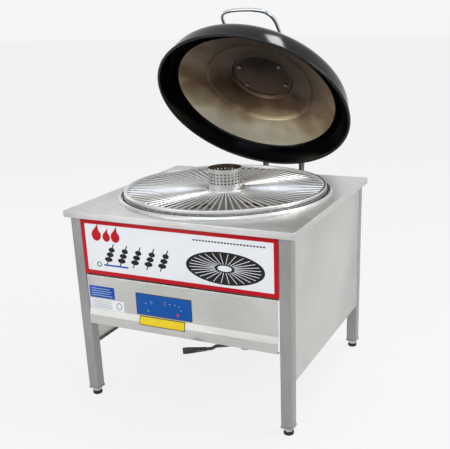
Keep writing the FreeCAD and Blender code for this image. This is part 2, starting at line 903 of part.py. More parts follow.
def drain():
    """Sump, drain pipe, valve body and outlet elbow."""
    level = size("drain_level")
    radius = size("sump_radius")
    wall = size("pan_wall")
    base = size("sump_base")
    top = size("pan_floor") - wall - 0.1
    outside = faceted([(radius - 8, base), (radius, base + 10), (radius, top)], 16)
    bore = radius - wall
    inside = faceted([(radius - 8.6, base + wall), (bore, base + 10.6), (bore, top + 1)], 16)
    side = size("pipe_radius") + 0.05
    port = box((radius - 20, radius + 20), (-side, side), (level - side, level + side))
    sump = finish(cut(outside, inside, port), "sump")
    along_pipe = Rotation(Vector(0, 0, 1), number("drain_turn"))
    sump.Placement = Placement(Vector(0, number("pan_middle"), 0), along_pipe)
    reach = size("valve_reach")
    half = size("valve_half")
    outer = prism(12, size("pipe_radius"), (radius - wall, 0, 0), reach - half - radius + wall, "x")
    inner = prism(12, size("pipe_bore"), (radius - wall - 1, 0, 0), reach - half - radius + wall + 2, "x")
    finish(drain_place(cut(outer, inner)), "drain_pipe")
    barrel = prism(8, 20.0, (reach - half, 0, 0), half * 2, "x")
    ends = [prism(6, 18.5, (reach + side_x, 0, 0), 9.0, "x") for side_x in (-half, half - 9)]
    waist = [
        box((reach - half + 9, reach - half + 13), (-25, 25), (15, 25)),
        box((reach + half - 13, reach + half - 9), (-25, 25), (15, 25)),
    ]
    port = box((reach - half - 1, reach + half + 1), (-6, 6), (-8, 8))
    seat = prism(16, size("plug_radius") + 0.4, (reach, 0, -30), 43.0)
    finish(drain_place(cut(fuse(barrel, *ends), *waist, port, seat)), "valve_body")
    elbow_start = number("valve_reach") + number("valve_half")
    outlet = elbow_start + 22
    line = bent_path([Vector(elbow_start, 0, 0), Vector(outlet, 0, 0), Vector(outlet, 0, -31)], [15.0], 4)
    longer = [Vector(elbow_start - 1, 0, 0)] + line[1:-1] + [Vector(outlet, 0, -32)]
    outside = bar_along(line, 15.0, 8)
    inside = bar_along(longer, 11.0, 8)
    elbow = shaped("drain_elbow", outside.cut(inside))
    drain_place(elbow)


def valve():
    """What turns in the valve: the plug with its port and stem, the lever, its grip and its nut."""
    reach = size("valve_reach")
    plug = prism(16, size("plug_radius"), (reach, 0, -12), 24.0)
    stem = rod(5.0, (reach, 0, -size("lever_drop")), size("lever_drop") - 12)
    port = box((reach - 6, reach + 6), (-20, 20), (-8, 8))
    finish(drain_place(cut(fuse(plug, stem), port)), "valve_plug")
    body = start_body("valve_lever")
    thick = size("lever_thick")
    low = -size("lever_drop")
    far = -size("lever_reach")
    outline = thick_outline([(12, low), (-88, low), (-102, low - 7), (far, low - 7)], thick)
    wide = size("lever_wide")
    pad(body, sketch_on(body, "YZ_Plane", [outline], reach - wide / 2), wide)
    drain_place(body)
    grip_low = low - 7 - thick / 2
    span_y = (far - 2, far - 2 + size("grip_long"))
    wide_half = wide / 2
    sleeve = box((reach - wide_half - 3, reach + wide_half + 3), span_y, (grip_low - 5, grip_low + 5))
    slot = box(
        (reach - wide_half - 0.1, reach + wide_half + 0.1),
        (far - 0.1, far + size("grip_long")),
        (grip_low - thick / 2 - 0.1, grip_low + thick / 2 + 0.1),
    )
    rounded = doc.addObject("Part::Chamfer", "grip_edges")
    doc.recompute()
    rounded.Base = sleeve
    long_edges = [
        index + 1
        for index, edge in enumerate(sleeve.Shape.Edges)
        if edge.BoundBox.YLength > 20
    ]
    rounded.Edges = [(index, 3.0, 3.0) for index in long_edges]
    finish(drain_place(cut(rounded, slot)), "lever_grip")
    nut = prism(6, 8.0, (reach, 0, low - thick - 6), 6.0)
    finish(drain_place(fuse(nut, prism(6, 3.5, (reach, 0, low - thick - 9), 3.0))), "lever_nut")


def lid_frame(feature):
    """Turn a piece drawn in the lid's own frame to its place on the open lid."""
    angle = math.radians(number("lid_angle"))
    fore = number("pan_middle") - number("hinge_back")
    rise = number("lid_rest") - number("hinge_level")
    y = number("hinge_back") + fore * math.cos(angle) + rise * math.sin(angle)
    z = number("hinge_level") - fore * math.sin(angle) + rise * math.cos(angle)
    feature.Placement = Placement(Vector(0, y, z), Rotation(Vector(1, 0, 0), -number("lid_angle")))
    return feature


def dome_outline():
    """The outside of the lid's dome as radius and height above the rim's plane, ending at its flat top."""
    crown = (100.0, number("dome_top"))
    return [(351.5, 10.0), (348.0, 34.0), (339.0, 62.0), (301.0, 98.0), (226.0, 133.0), crown]


def other_face(points, gauge):
    """The second face of a bent sheet, without its point on the axis."""
    count = len(points)
    return thick_outline(points, gauge)[count + 1 :][::-1]


def lid_shell():
    """The lid: a pressed dome of enamelled steel with a rolled rim."""
    inner = size("rim_inner")
    outer = size("rim_outer")
    half = size("rim_half")
    dome = dome_outline()
    hollow = other_face(dome + [(0, dome[-1][1])], size("shell"))
    outside = faceted([(outer - 2, -half), (outer, -half + 2), (outer, half - 2)] + dome, FACETS)
    inside = faceted([(inner, -half - 1)] + hollow, FACETS)
    lid_frame(finish(cut(outside, inside), "lid_shell"))


def reflector():
    """The reflector: a stepped steel plate under the dome, held by four bolts through its sunken middle."""
    edge = size("reflector_edge")
    level = size("reflector_level")
    disc = size("reflector_disc")
    steps = [(edge, level), (199, disc - 43), (196, disc - 38), (116, disc - 12), (110, disc)]
    upper = other_face(steps + [(0, disc)], -size("reflector_gauge"))
    lid_frame(finish(cut(faceted(upper, FACETS), faceted(steps, FACETS)), "reflector"))


def bolt_places():
    """Where the four bolts stand on the lid."""
    for side in (1, -1):
        for fore in (1, -1):
            yield size("bolt_side") * side, size("bolt_fore") * fore


def lid_fasteners():
    """Hexagon spacers over the reflector, and the bolts that hold it, whose heads show inside the lid."""
    disc = size("reflector_disc")
    gauge = size("reflector_gauge")
    spacers = [prism(6, 9.0, (x, y, disc + gauge), 15.9) for x, y in bolt_places()]
    lid_frame(group("reflector_spacers", *spacers))
    heads = [prism(6, 7.5, (x, y, disc - 5), 5.0) for x, y in bolt_places()]
    lid_frame(group("reflector_bolts", *heads))


def handle():
    """The lid handle: a round bar in a wide U over the front of the dome, on two straps across its top."""
    level = size("strap_level")
    thick = size("strap_thick")
    place = size("bolt_side")
    straps = []
    for side in (1, -1):
        x = (place * side - 13, place * side + 13)
        straps.append(box(x, (-(size("bolt_fore") + 14), size("bolt_fore") + 14), (level, level + thick)))
        for fore in (1, -1):
            straps.append(prism(6, 7.5, (place * side, size("bolt_fore") * fore, level + thick), 6.0))
    lid_frame(group("handle_straps", *straps))
    post = number("bolt_side")
    wide = number("handle_half")
    reach = number("handle_reach")
    rear = number("handle_rear")
    front = number("handle_front")
    foot = number("strap_level") + number("strap_thick") + 0.1

    def slope(fore):
        """Height of the bar's sloping part at a distance in front of the posts."""
        return rear + (front - rear) * fore / reach

    points = [
        Vector(post, 0, foot),
        Vector(post, 0, rear),
        Vector(wide, -(reach - wide), slope(reach - wide)),
        Vector(wide, -reach, front),
        Vector(-wide, -reach, front),
        Vector(-wide, -(reach - wide), slope(reach - wide)),
        Vector(-post, 0, rear),
        Vector(-post, 0, foot),
    ]
    line = bent_path(points, [22.0, 60.0, wide * 0.92, wide * 0.92, 60.0, 22.0], 4)
    lid_frame(shaped("lid_handle", bar_along(line, number("handle_rod"), 8)))


def arm_outline():
    """Side view of a hinge arm in the lid's frame: up from the beam and forward to the saddle."""
    hinge_y = number("hinge_back") - number("pan_middle")
    hinge_z = number("hinge_level") - number("lid_rest")
    beam_top = hinge_z + number("beam_side") / 2
    wide = 17.0
    return [
        (hinge_y - wide, beam_top + 0.1),
        (hinge_y + wide, beam_top + 0.1),
        (hinge_y + wide, 20.0),
        (hinge_y - 6.0, 58.0),
        (335.0, 70.0),
        (335.0, 12.0),
        (hinge_y - 30.0, 12.0),
        (hinge_y - wide, -4.0),
    ]


def hinge():
    """The hinge behind the cabinet. Its brackets, shaft and springs stay still when the lid turns."""
    y = size("hinge_back")
    z = size("hinge_level")
    inner = size("bracket_inner")
    thick = size("bracket_thick")
    base_thick = size("bracket_base")
    brackets = []
    for x in mirrored_pair(inner, inner + thick):
        ear = box(x, (back_face, y + 22), (z - 22, z + 22))
        foot_x = (x[0] - 24, x[1] + 24)
        foot = box(foot_x, (back_face, back_face + base_thick), (z - 48, z + 48))
        bore = prism(16, size("shaft_radius") + 0.4, (x[0] - 5, y, z), thick + 10, "x")
        brackets.append(cut(fuse(ear, foot), bore))
    group("hinge_brackets", *brackets)
    half = size("shaft_half")
    finish(rod(size("shaft_radius"), (-half, y, z), half * 2, "x"), "hinge_shaft")
    springs = []
    for x in mirrored_pair(12, 88):
        coil = prism(12, 15.5, (x[0], y, z), x[1] - x[0], "x")
        springs.append(cut(coil, prism(12, 10.9, (x[0] - 1, y, z), x[1] - x[0] + 2, "x")))
    group("balance_springs", *springs)
    bolts = []
    for x in (inner + thick / 2, -(inner + thick / 2)):
        for side in (-17, 17):
            for rise in (-36, 36):
                bolts.append(prism(6, 7.5, (x + side, back_face + base_thick, z + rise), 5.5, "y"))
    group("bracket_bolts", *bolts)
    turning_hinge()


def turning_hinge():
    """Beam, arms and saddle, in the lid's frame."""
    y = size("hinge_back") - pan_middle
    z = size("hinge_level") - size("lid_rest")
    half = size("beam_side") / 2
    wall = size("beam_wall")
    long_half = size("beam_half")
    outer = box((-long_half, long_half), (y - half, y + half), (z - half, z + half))
    plug = 6.0
    hollow = box(
        (-long_half + plug, long_half - plug),
        (y - half + wall, y + half - wall),
        (z - half + wall, z + half - wall),
    )
    bore = rod(size("shaft_radius") + 0.06, (-long_half - 1, y, z), long_half * 2 + 2, "x")
    lid_frame(finish(cut(outer, hollow, bore), "hinge_beam"))
    clear = 0.3
    thick = 4.0
    skirt = dome_outline()[:3]

    def around_skirt(gap):
        """The rear of the lid's skirt grown by a gap, as a faceted block."""
        levels = [(radius + gap, level) for radius, level in skirt]
        levels[0] = (levels[0][0], levels[0][1] + 2)
        return faceted(levels, FACETS)

    ring = cut(around_skirt(clear + thick), faceted([(r + clear, z_of) for r, z_of in skirt], FACETS))
    sector = doc.addObject("Part::Common", "sector")
    sector.Base = ring
    sector.Tool = box((-108.0, 108.0), (250.0, 400.0), (0.0, 100.0))
    lid_frame(finish(sector, "lid_saddle"))
    seat = clear + thick + 0.2
    low = skirt[0][0] + seat
    high = skirt[2][0] + seat
    outline = arm_outline()
    for name, place in (("right", size("arm_place")), ("left", -size("arm_place"))):
        blank = start_blank(f"blank_of_arm_{name}")
        thick_arm = size("arm_thick")
        plate = pad(blank, sketch_on(blank, "YZ_Plane", [outline], place - thick_arm / 2), thick_arm)
        doc.recompute()
        rounded = [outline[2], outline[3], outline[6], outline[7]]
        corners = [
            f"Edge{index}"
            for index, edge in enumerate(blank.Shape.Edges, start=1)
            if edge.BoundBox.XLength > 5
            and any(math.hypot(edge.BoundBox.YMin - y0, edge.BoundBox.ZMin - z0) < 1 for y0, z0 in rounded)
        ]
        rounding = blank.newObject("PartDesign::Fillet", "rounding")
        rounding.Base = (plate, corners)
        rounding.Radius = 12.0
        middle = (skirt[1][0] + seat, 34.0)
        trim = faceted([(low, -20.0), (low, 12.0), middle, (high, 62.0), (high - 12, 72.0)], FACETS)
        lid_frame(finish(cut(blank, trim), f"hinge_arm_{name}"))
    bolts = []
    level = 21.0
    radius = skirt[0][0] + seat
    for place in (number("arm_place"), -number("arm_place")):
        for side in (-14.0, 14.0):
            x = place + side
            bolts.append(prism(6, 6.5, (x, math.sqrt(radius * radius - x * x), level), 5.0, "y"))
    lid_frame(group("saddle_bolts", *bolts))


def panel_screws():
    """Button-headed screws at the edges of the back panel and the ends of the side panels."""
    screws = []
    rows = (size("back_base") + 20, size("back_base") + 150, size("panel_top") - 60)
    for x in (leg_in - 14, -(leg_in - 14)):
        for z in rows:
            screws.append(prism(8, 4.5, (x, back_face, z), 2.4, "y"))
    group("panel_screws", *screws)


legs()
foot_caps()
levelling_feet()
rails()
top_plate()
panels()
control_fascia()
wool()
keypad()
control_box()
collar()
firepot()
heaters()
grate()
flue()
drain()
valve()
lid_shell()
reflector()
lid_fasteners()
handle()
hinge()
panel_screws()
doc.recompute()

for item in doc.Objects:
    if "Invalid" in item.State or "Error" in item.State:
        raise RuntimeError(f"{item.Label} ({item.Name}) is in state {item.State}")
labels = [piece.Label for piece in pieces]
if len(set(labels)) != len(labels):
    raise RuntimeError("two sub-parts share a label")
for piece in pieces:
    if piece.Shape.isNull() or not piece.Shape.isValid():
        raise RuntimeError(f"{piece.Label} has no valid shape")
for piece in pieces:
    piece.Shape.exportStep(f"parts/{piece.Label}.step")
    box_of = piece.Shape.BoundBox
    print(
        f"{piece.Label:22s} solids {len(piece.Shape.Solids):2d} volume {piece.Shape.Volume / 1000:9.1f} cm3"
        f"  x {box_of.XMin:7.1f} {box_of.XMax:7.1f}  y {box_of.YMin:7.1f} {box_of.YMax:7.1f}"
        f"  z {box_of.ZMin:7.1f} {box_of.ZMax:7.1f}"
    )
print(len(pieces), "sub-parts")
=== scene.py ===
# %% [markdown]
# # Dressing an electric tandoor
# The cooker is a square steel table. A round pan hangs in its top, a grate of radial wires lies over the
# pan, and a domed lid of black enamel stands open on a hinge at the back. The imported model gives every
# sub-part its place, in metres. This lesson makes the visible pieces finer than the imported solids, and
# gives each its own finish.

# %% Load the frame
import bmesh
import bpy
import json
import math
from mathutils import Matrix, Vector

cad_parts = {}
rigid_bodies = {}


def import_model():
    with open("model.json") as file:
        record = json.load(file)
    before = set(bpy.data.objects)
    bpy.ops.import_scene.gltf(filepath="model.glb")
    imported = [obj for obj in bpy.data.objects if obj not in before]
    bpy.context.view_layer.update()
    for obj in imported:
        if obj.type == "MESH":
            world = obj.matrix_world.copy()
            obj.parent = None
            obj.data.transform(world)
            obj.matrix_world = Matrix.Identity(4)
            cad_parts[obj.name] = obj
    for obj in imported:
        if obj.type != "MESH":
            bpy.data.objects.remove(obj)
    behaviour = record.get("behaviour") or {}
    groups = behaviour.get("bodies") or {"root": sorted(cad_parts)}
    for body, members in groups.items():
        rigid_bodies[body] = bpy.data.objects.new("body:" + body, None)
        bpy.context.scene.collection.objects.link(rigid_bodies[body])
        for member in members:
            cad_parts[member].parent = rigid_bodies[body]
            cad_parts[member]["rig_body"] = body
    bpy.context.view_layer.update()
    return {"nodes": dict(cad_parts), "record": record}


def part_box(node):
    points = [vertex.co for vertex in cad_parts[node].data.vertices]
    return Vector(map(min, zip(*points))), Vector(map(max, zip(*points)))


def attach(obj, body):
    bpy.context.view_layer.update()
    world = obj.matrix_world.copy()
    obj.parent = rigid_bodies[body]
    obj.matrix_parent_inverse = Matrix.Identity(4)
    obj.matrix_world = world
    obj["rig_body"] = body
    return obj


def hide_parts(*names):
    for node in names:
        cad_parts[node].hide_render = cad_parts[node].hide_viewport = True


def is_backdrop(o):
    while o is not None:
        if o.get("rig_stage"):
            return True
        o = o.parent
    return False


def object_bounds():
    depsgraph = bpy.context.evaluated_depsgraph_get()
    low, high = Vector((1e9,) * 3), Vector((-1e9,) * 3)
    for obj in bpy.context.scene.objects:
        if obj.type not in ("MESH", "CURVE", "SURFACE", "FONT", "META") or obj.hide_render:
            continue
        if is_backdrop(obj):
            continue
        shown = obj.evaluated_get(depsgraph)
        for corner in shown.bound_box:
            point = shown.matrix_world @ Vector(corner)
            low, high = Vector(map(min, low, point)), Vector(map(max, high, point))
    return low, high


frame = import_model()
NODES = frame["nodes"]
MM = 0.001
print("packed sub-parts:", len(NODES))

# %% [markdown]
# ## Working as by hand, in code
# Blender's own tools act on whatever is selected. So each new piece starts with an empty selection, comes
# from one primitive, and has its place applied at once. After that its own coordinates are the model's
# coordinates, and a face can be found in code by where it lies. These small helpers do only that. Lengths
# in this lesson are in millimetres unless a comment says otherwise, and MM turns them to metres.

# %% Start a piece
AXIS_Y = 8.5


def leave_editing():
    """Go back to object mode, if a piece is still open for editing."""
    if bpy.context.mode != "OBJECT":
        bpy.ops.object.mode_set(mode="OBJECT")


def select_only(*pieces):
    """Select these objects and no others. The first one is made active."""
    leave_editing()
    bpy.ops.object.select_all(action="DESELECT")
    for piece in pieces:
        piece.select_set(True)
    bpy.context.view_layer.objects.active = pieces[0]


def start(name, add, **settings):
    """Add one primitive with nothing else selected, put its place in its mesh, and open it for editing."""
    leave_editing()
    bpy.ops.object.select_all(action="DESELECT")
    add(**settings)
    piece = bpy.context.object
    piece.name = piece.data.name = name
    bpy.ops.object.transform_apply(location=True, rotation=True, scale=True)
    bpy.ops.object.mode_set(mode="EDIT")
    return piece


def block(name, low, high):
    """A cube stretched between two corners, open for editing."""
    middle = [(a + b) / 2 * MM for a, b in zip(low, high)]
    span = [(b - a) * MM for a, b in zip(low, high)]
    return start(name, bpy.ops.mesh.primitive_cube_add, size=1, location=middle, scale=span)


def rod(name, sides, radius, length, middle, rotation=(0, 0, 0)):
    """A cylinder about a middle point, open for editing."""
    return start(name, bpy.ops.mesh.primitive_cylinder_add, vertices=sides, radius=radius * MM,
                 depth=length * MM, location=Vector(middle) * MM, rotation=rotation)

# %% Choose parts of a piece
def choose(piece, kind, test):
    """Select the vertices, edges or faces that pass a test of their place, and nothing else."""
    bpy.ops.mesh.select_mode(type=kind)
    bpy.ops.mesh.select_all(action="DESELECT")
    mesh = bmesh.from_edit_mesh(piece.data)
    found = 0
    for item in {"VERT": mesh.verts, "EDGE": mesh.edges, "FACE": mesh.faces}[kind]:
        if kind == "VERT":
            place = item.co / MM
        elif kind == "EDGE":
            place = (item.verts[0].co + item.verts[1].co) / 2 / MM
        else:
            place = item.calc_center_median() / MM
        if test(place, item):
            item.select_set(True)
            found += 1
    mesh.select_flush_mode()
    bmesh.update_edit_mesh(piece.data)
    return found


def along(item, axis):
    """Whether an edge runs along one axis."""
    run = item.verts[1].co - item.verts[0].co
    return abs(run[axis]) > 0.999 * run.length


def round_edges(piece, radius, segments, test):
    """Bevel the edges that pass a test."""
    choose(piece, "EDGE", test)
    bpy.ops.mesh.bevel(offset=radius * MM, segments=segments, affect="EDGES")


# %% [markdown]
# ## Handing a piece over
# A finished piece leaves edit mode, gets its finish and its smoothing, rides on a body of the model, and
# hides the imported node it stands for. A lid piece is drawn lying flat about its own axis, as a press
# would form it, and is tipped to its open place at the end. The drain's pipe is drawn along the X axis
# and turned in the same way.

# %% Finish a piece
LID_MIDDLE = (0, 253.66, 935.20)
TILT = math.radians(-45.7)
LID_PLACE = Matrix.Translation(Vector(LID_MIDDLE) * MM) @ Matrix.Rotation(TILT, 4, "X")
DRAIN_START = (0, AXIS_Y, 305)
DRAIN_TURN = math.radians(-57.8)
DRAIN_PLACE = Matrix.Translation(Vector(DRAIN_START) * MM) @ Matrix.Rotation(DRAIN_TURN, 4, "Z")
made = []

# %% Change a piece
def modify(piece, kind, **settings):
    """Add one modifier and apply it."""
    leave_editing()
    change = piece.modifiers.new(kind.lower(), kind)
    for key, value in settings.items():
        setattr(change, key, value)
    bpy.context.view_layer.objects.active = piece
    bpy.ops.object.modifier_apply(modifier=change.name)


def break_edges(piece, width, segments=2, angle=30):
    """Bevel every edge that is sharper than an angle."""
    modify(piece, "BEVEL", width=width * MM, segments=segments, limit_method="ANGLE",
           angle_limit=math.radians(angle))


def cut_away(piece, tool):
    """Cut a tool's shape out of a piece, and throw the tool away."""
    modify(piece, "BOOLEAN", object=tool, operation="DIFFERENCE", solver="EXACT")
    bpy.data.objects.remove(tool)

# %% Settle a piece
def settle(piece, body, finish, slot, stands_for=(), smooth=35, at=None):
    """Close a piece: place it, smooth it below an angle, give it a finish, and let it ride on its body."""
    select_only(piece)
    if at:
        piece.matrix_world = at
        bpy.ops.object.transform_apply(location=True, rotation=True, scale=True)
    bpy.ops.object.shade_smooth_by_angle(angle=math.radians(smooth))
    piece.data.materials.clear()
    piece.data.materials.append(finish)
    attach(piece, body)
    if stands_for:
        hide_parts(*stands_for)
    made.append(piece.name)
    print(piece.name, len(piece.data.polygons), "faces")
    return piece

# %% Copy and join
def copy_of(piece, name, shift=(0, 0, 0), turn=0.0, pivot=(0, 0, 0)):
    """A copy with its own mesh, turned about an upright axis and moved."""
    leave_editing()
    twin = piece.copy()
    twin.data = piece.data.copy()
    twin.name = twin.data.name = name
    bpy.context.scene.collection.objects.link(twin)
    centre = Matrix.Translation(Vector(pivot) * MM)
    move = Matrix.Translation(Vector(shift) * MM)
    twin.data.transform(move @ centre @ Matrix.Rotation(turn, 4, "Z") @ centre.inverted())
    return twin


def joined(name, pieces):
    """Several objects as one."""
    select_only(*pieces)
    bpy.ops.object.join()
    pieces[0].name = pieces[0].data.name = name
    return pieces[0]


# %% [markdown]
# ## Turned shapes
# The pan, its collar, the bands of the grate and the lid are round about one axis. On a real one they are
# spun or pressed from a disc. Here a circle of edges is extruded and resized ring by ring, which follows
# a section drawn as pairs of radius and height. A section's corners are eased first, because bent sheet
# never has a sharp fold.

# %% Helpers for sections
NEARLY_STRAIGHT = math.radians(177)


def eased(points, radius, steps=4):
    """A section with its corners rounded. Radius is one number, or one for each corner."""
    result = [points[0]]
    for index in range(1, len(points) - 1):
        before, corner, after = (Vector(point) for point in points[index - 1 : index + 2])
        size = radius[index] if isinstance(radius, (list, tuple)) else radius
        one, two = before - corner, after - corner
        angle = one.angle(two)
        if size <= 0 or angle > NEARLY_STRAIGHT:
            result.append(points[index])
            continue
        reach = min(size / math.tan(angle / 2), one.length * 0.49, two.length * 0.49)
        first, last = corner + one.normalized() * reach, corner + two.normalized() * reach
        for step in range(steps + 1):
            t = step / steps
            result.append(tuple((1 - t) ** 2 * first + 2 * t * (1 - t) * corner + t * t * last))
    result.append(points[-1])
    return result


def flowing(points, steps=5):
    """A smooth curve through every point, as a draughtsman's spline."""
    ends = [2 * Vector(points[0]) - Vector(points[1])] + [Vector(p) for p in points]
    ends.append(2 * Vector(points[-1]) - Vector(points[-2]))
    result = []
    for k in range(1, len(ends) - 2):
        a, b, c, d = ends[k - 1 : k + 3]
        bend = 2 * a - 5 * b + 4 * c - d
        twist = 3 * b - a - 3 * c + d
        for step in range(steps):
            t = step / steps
            result.append(tuple(0.5 * (2 * b + (c - a) * t + bend * t * t + twist * t ** 3)))
    result.append(tuple(points[-1]))
    return result

# %% Turn a section
def turned(name, rings, segments, middle=(0, AXIS_Y)):
    """Extrude and resize a circle of edges through pairs of radius and height. A radius of 0 closes it."""
    x, y = middle[0] * MM, middle[1] * MM
    radius, level = rings[0]
    radius = max(radius, 0.2)
    piece = start(name, bpy.ops.mesh.primitive_circle_add, vertices=segments, radius=radius * MM,
                  location=(x, y, level * MM))
    bpy.ops.mesh.select_mode(type="EDGE")
    bpy.ops.mesh.select_all(action="SELECT")
    for far, high in rings[1:]:
        rise = (high - level) * MM
        bpy.ops.mesh.extrude_edges_move(TRANSFORM_OT_translate={"value": (0, 0, rise)})
        if far <= 0:
            bpy.ops.mesh.merge(type="CENTER")
            break
        scale = far / radius
        if abs(scale - 1) > 1e-9:
            bpy.ops.transform.resize(value=(scale, scale, 1), center_override=(x, y, high * MM))
        radius, level = far, high
    if rings[0][0] == 0:
        centre = Vector((middle[0], middle[1], rings[0][1]))
        choose(piece, "VERT", lambda place, item: (place - centre).length < 0.3)
        bpy.ops.mesh.merge(type="CENTER")
    bpy.ops.mesh.select_all(action="SELECT")
    bpy.ops.mesh.remove_doubles(threshold=0.00002)
    bpy.ops.mesh.normals_make_consistent(inside=False)
    return piece


# %% [markdown]
# ## Colour
# Colours are written as the hex values that a picture editor shows. Blender's shaders work in linear
# light, so one function turns them. One more function adds a node, sets it and links it, and every finish
# below is built with it. An object's own coordinates are the model's metres, so a pattern keeps its true
# size on every piece.

# %% Helpers for finishes
def linear(code):
    """An sRGB hex colour as linear RGBA."""
    values = [int(code[i : i + 2], 16) / 255 for i in (1, 3, 5)]
    return (*[v / 12.92 if v <= 0.04045 else ((v + 0.055) / 1.055) ** 2.4 for v in values], 1.0)


def add_node(tree, kind, inputs=None, **settings):
    """Add a node, set its properties, and fill or link its inputs. A value that is a socket is linked."""
    node = tree.nodes.new(kind)
    for key, value in settings.items():
        setattr(node, key, value)
    for key, value in (inputs or {}).items():
        socket = node.inputs[key]
        if isinstance(value, bpy.types.NodeSocket):
            tree.links.new(value, socket)
        else:
            socket.default_value = value
    return node


def new_finish(name, **fixed):
    """A material with one Principled shader, whose constant sockets are set directly."""
    finish = bpy.data.materials.new(name)
    finish.use_nodes = True
    shader = finish.node_tree.nodes["Principled BSDF"]
    for key, value in fixed.items():
        shader.inputs[key.replace("_", " ")].default_value = value
    return finish, finish.node_tree, shader

# %% Helpers for patterns
def object_place(tree):
    """Where a point lies in its object, in metres."""
    return add_node(tree, "ShaderNodeTexCoord").outputs["Object"]


def seen_from(tree, middle, turn=(0, 0, 0)):
    """Where a point lies as seen from a middle point in metres, with a turn undone."""
    fields = {"Vector": object_place(tree), "Location": middle, "Rotation": turn}
    return add_node(tree, "ShaderNodeMapping", fields, vector_type="TEXTURE").outputs["Vector"]


def noise(tree, place, scale, detail):
    """Soft noise about 0.5. Scale is the number of its waves in a metre."""
    fields = {"Vector": place, "Scale": scale, "Detail": detail}
    return add_node(tree, "ShaderNodeTexNoise", fields).outputs["Fac"]


def maths(tree, operation, *values):
    """One sum on numbers or sockets."""
    return add_node(tree, "ShaderNodeMath", dict(enumerate(values)), operation=operation).outputs[0]


def vector_maths(tree, operation, *values):
    """One sum on vectors. The length of a vector is a plain value."""
    node = add_node(tree, "ShaderNodeVectorMath", dict(enumerate(values)), operation=operation)
    return node.outputs["Value" if operation == "LENGTH" else 0]

# %% Helpers for a shader's inputs
def blended(tree, factor, dark, light, low=0.3, high=0.7):
    """Two hex colours mixed by a factor through a ramp."""
    ramp = add_node(tree, "ShaderNodeValToRGB", {"Fac": factor})
    for stop, spot, code in zip(ramp.color_ramp.elements, (low, high), (dark, light)):
        stop.position = spot
        stop.color = linear(code)
    return ramp.outputs["Color"]


def mixed(tree, factor, first, second):
    """Two colours mixed by a factor, without a ramp."""
    return add_node(tree, "ShaderNodeMix", {0: factor, 6: first, 7: second}, data_type="RGBA").outputs[2]


def ranged(tree, value, low, high, start=0.0, stop=1.0):
    """A value carried from one range to another."""
    fields = {"Value": value, "From Min": start, "From Max": stop, "To Min": low, "To Max": high}
    return add_node(tree, "ShaderNodeMapRange", fields).outputs["Result"]


def coloured(tree, shader, colour, wear, low, high):
    """Give a shader its colour, and a roughness that a noise carries from low to high."""
    tree.links.new(colour, shader.inputs["Base Color"])
    tree.links.new(ranged(tree, wear, low, high, 0.3, 0.7), shader.inputs["Roughness"])


def bumped(tree, shader, height, strength, distance):
    """Let a height tip the shader's normal."""
    bump = add_node(tree, "ShaderNodeBump", {"Height": height, "Strength": strength, "Distance": distance})
    tree.links.new(bump.outputs["Normal"], shader.inputs["Normal"])


# %% [markdown]
# ## Bare steel sheet
# The table is made of stainless sheet with a fine mill finish. It is pale, slightly yellow grey, and it
# mirrors its surroundings only softly. Rolling leaves faint streaks along the sheet, and cleaning leaves
# cloudy smears. Both shift the colour a little, and the smears make the gloss uneven. The streaks are
# drawn about 3 mm apart, which is coarser than real brushing, so that they can be seen in the picture.
# Streaks get long along the axis whose grain is small.

# %% Steel finishes
STREAKS_IN_A_METRE = 330.0
ALONG_X = (0.05, 1, 1)


def steel_finish(name, dark, light, rough=(0.28, 0.5), grain=(1, 1, 1), metallic=0.85, smear=5.0):
    """Brushed or rolled steel: streaks along one axis, cloudy smears, and a very small bump."""
    finish, tree, shader = new_finish(name, Metallic=metallic)
    place = object_place(tree)
    stretched = add_node(tree, "ShaderNodeMapping", {"Vector": place, "Scale": grain}).outputs["Vector"]
    streaks = noise(tree, stretched, STREAKS_IN_A_METRE, 3.0)
    clouds = noise(tree, place, smear, 5.0)
    half = maths(tree, "MULTIPLY", maths(tree, "ADD", streaks, clouds), 0.5)
    coloured(tree, shader, blended(tree, half, dark, light, 0.38, 0.62), clouds, *rough)
    bumped(tree, shader, streaks, 0.03, 0.0004)
    return finish


panel_steel = steel_finish("stainless_sheet", "#b9b9b5", "#c9c9c5", (0.26, 0.36), ALONG_X, metallic=0.75)
plate_steel = steel_finish("stainless_top_sheet", "#b4b4b1", "#d6d6d3", grain=ALONG_X, metallic=0.7, smear=3)
frame_steel = steel_finish("steel_tube", "#90908e", "#a0a09e", grain=(1, 1, 0.05), metallic=0.6)
collar_steel = steel_finish("stainless_ring", "#b4b4b1", "#dededc", grain=(1, 1, 0.4), metallic=0.75)
pan_steel = steel_finish("pan_steel", "#d8d5d0", "#efece7", (0.28, 0.42), (1, 1, 0.1), metallic=0.4)
pipe_steel = steel_finish("drawn_steel_pipe", "#9a9a98", "#bdbdbb", grain=(0.2, 0.2, 1))
bolt_steel = steel_finish("zinc_plated_steel", "#a5a7a8", "#cfd1d2", (0.25, 0.4))
shaft_steel = steel_finish("ground_steel_bar", "#9fa1a3", "#c4c6c8", (0.18, 0.3))
spring_steel = steel_finish("spring_steel", "#56585a", "#7d7f80", (0.3, 0.45))
wire_steel = steel_finish("polished_wire", "#c8c8c7", "#e0e0df", (0.24, 0.38))
flue_steel = steel_finish("drawn_tube", "#b4b4b1", "#d6d5d2", (0.25, 0.4), (1, 1, 0.06), metallic=0.8)
chrome = steel_finish("chromed_bar", "#b9bec2", "#e6e9ea", (0.08, 0.16), metallic=1.0)
lever_steel = steel_finish("pressed_lever_steel", "#4c4c4b", "#6c6c6a", (0.25, 0.4))
brass = steel_finish("plated_brass", "#b6a577", "#d8caa0", (0.25, 0.4), metallic=1.0)
heater_sheath = steel_finish("heater_sheath", "#4a433e", "#6d645c", (0.45, 0.65), metallic=0.8)
heater_strap = steel_finish("scaled_steel_bar", "#6b6763", "#8f8a84", (0.45, 0.65), metallic=0.7)
probe_steel = steel_finish("probe_sheath", "#8b8986", "#b5b3b0", (0.25, 0.4))
print("steel finishes made")

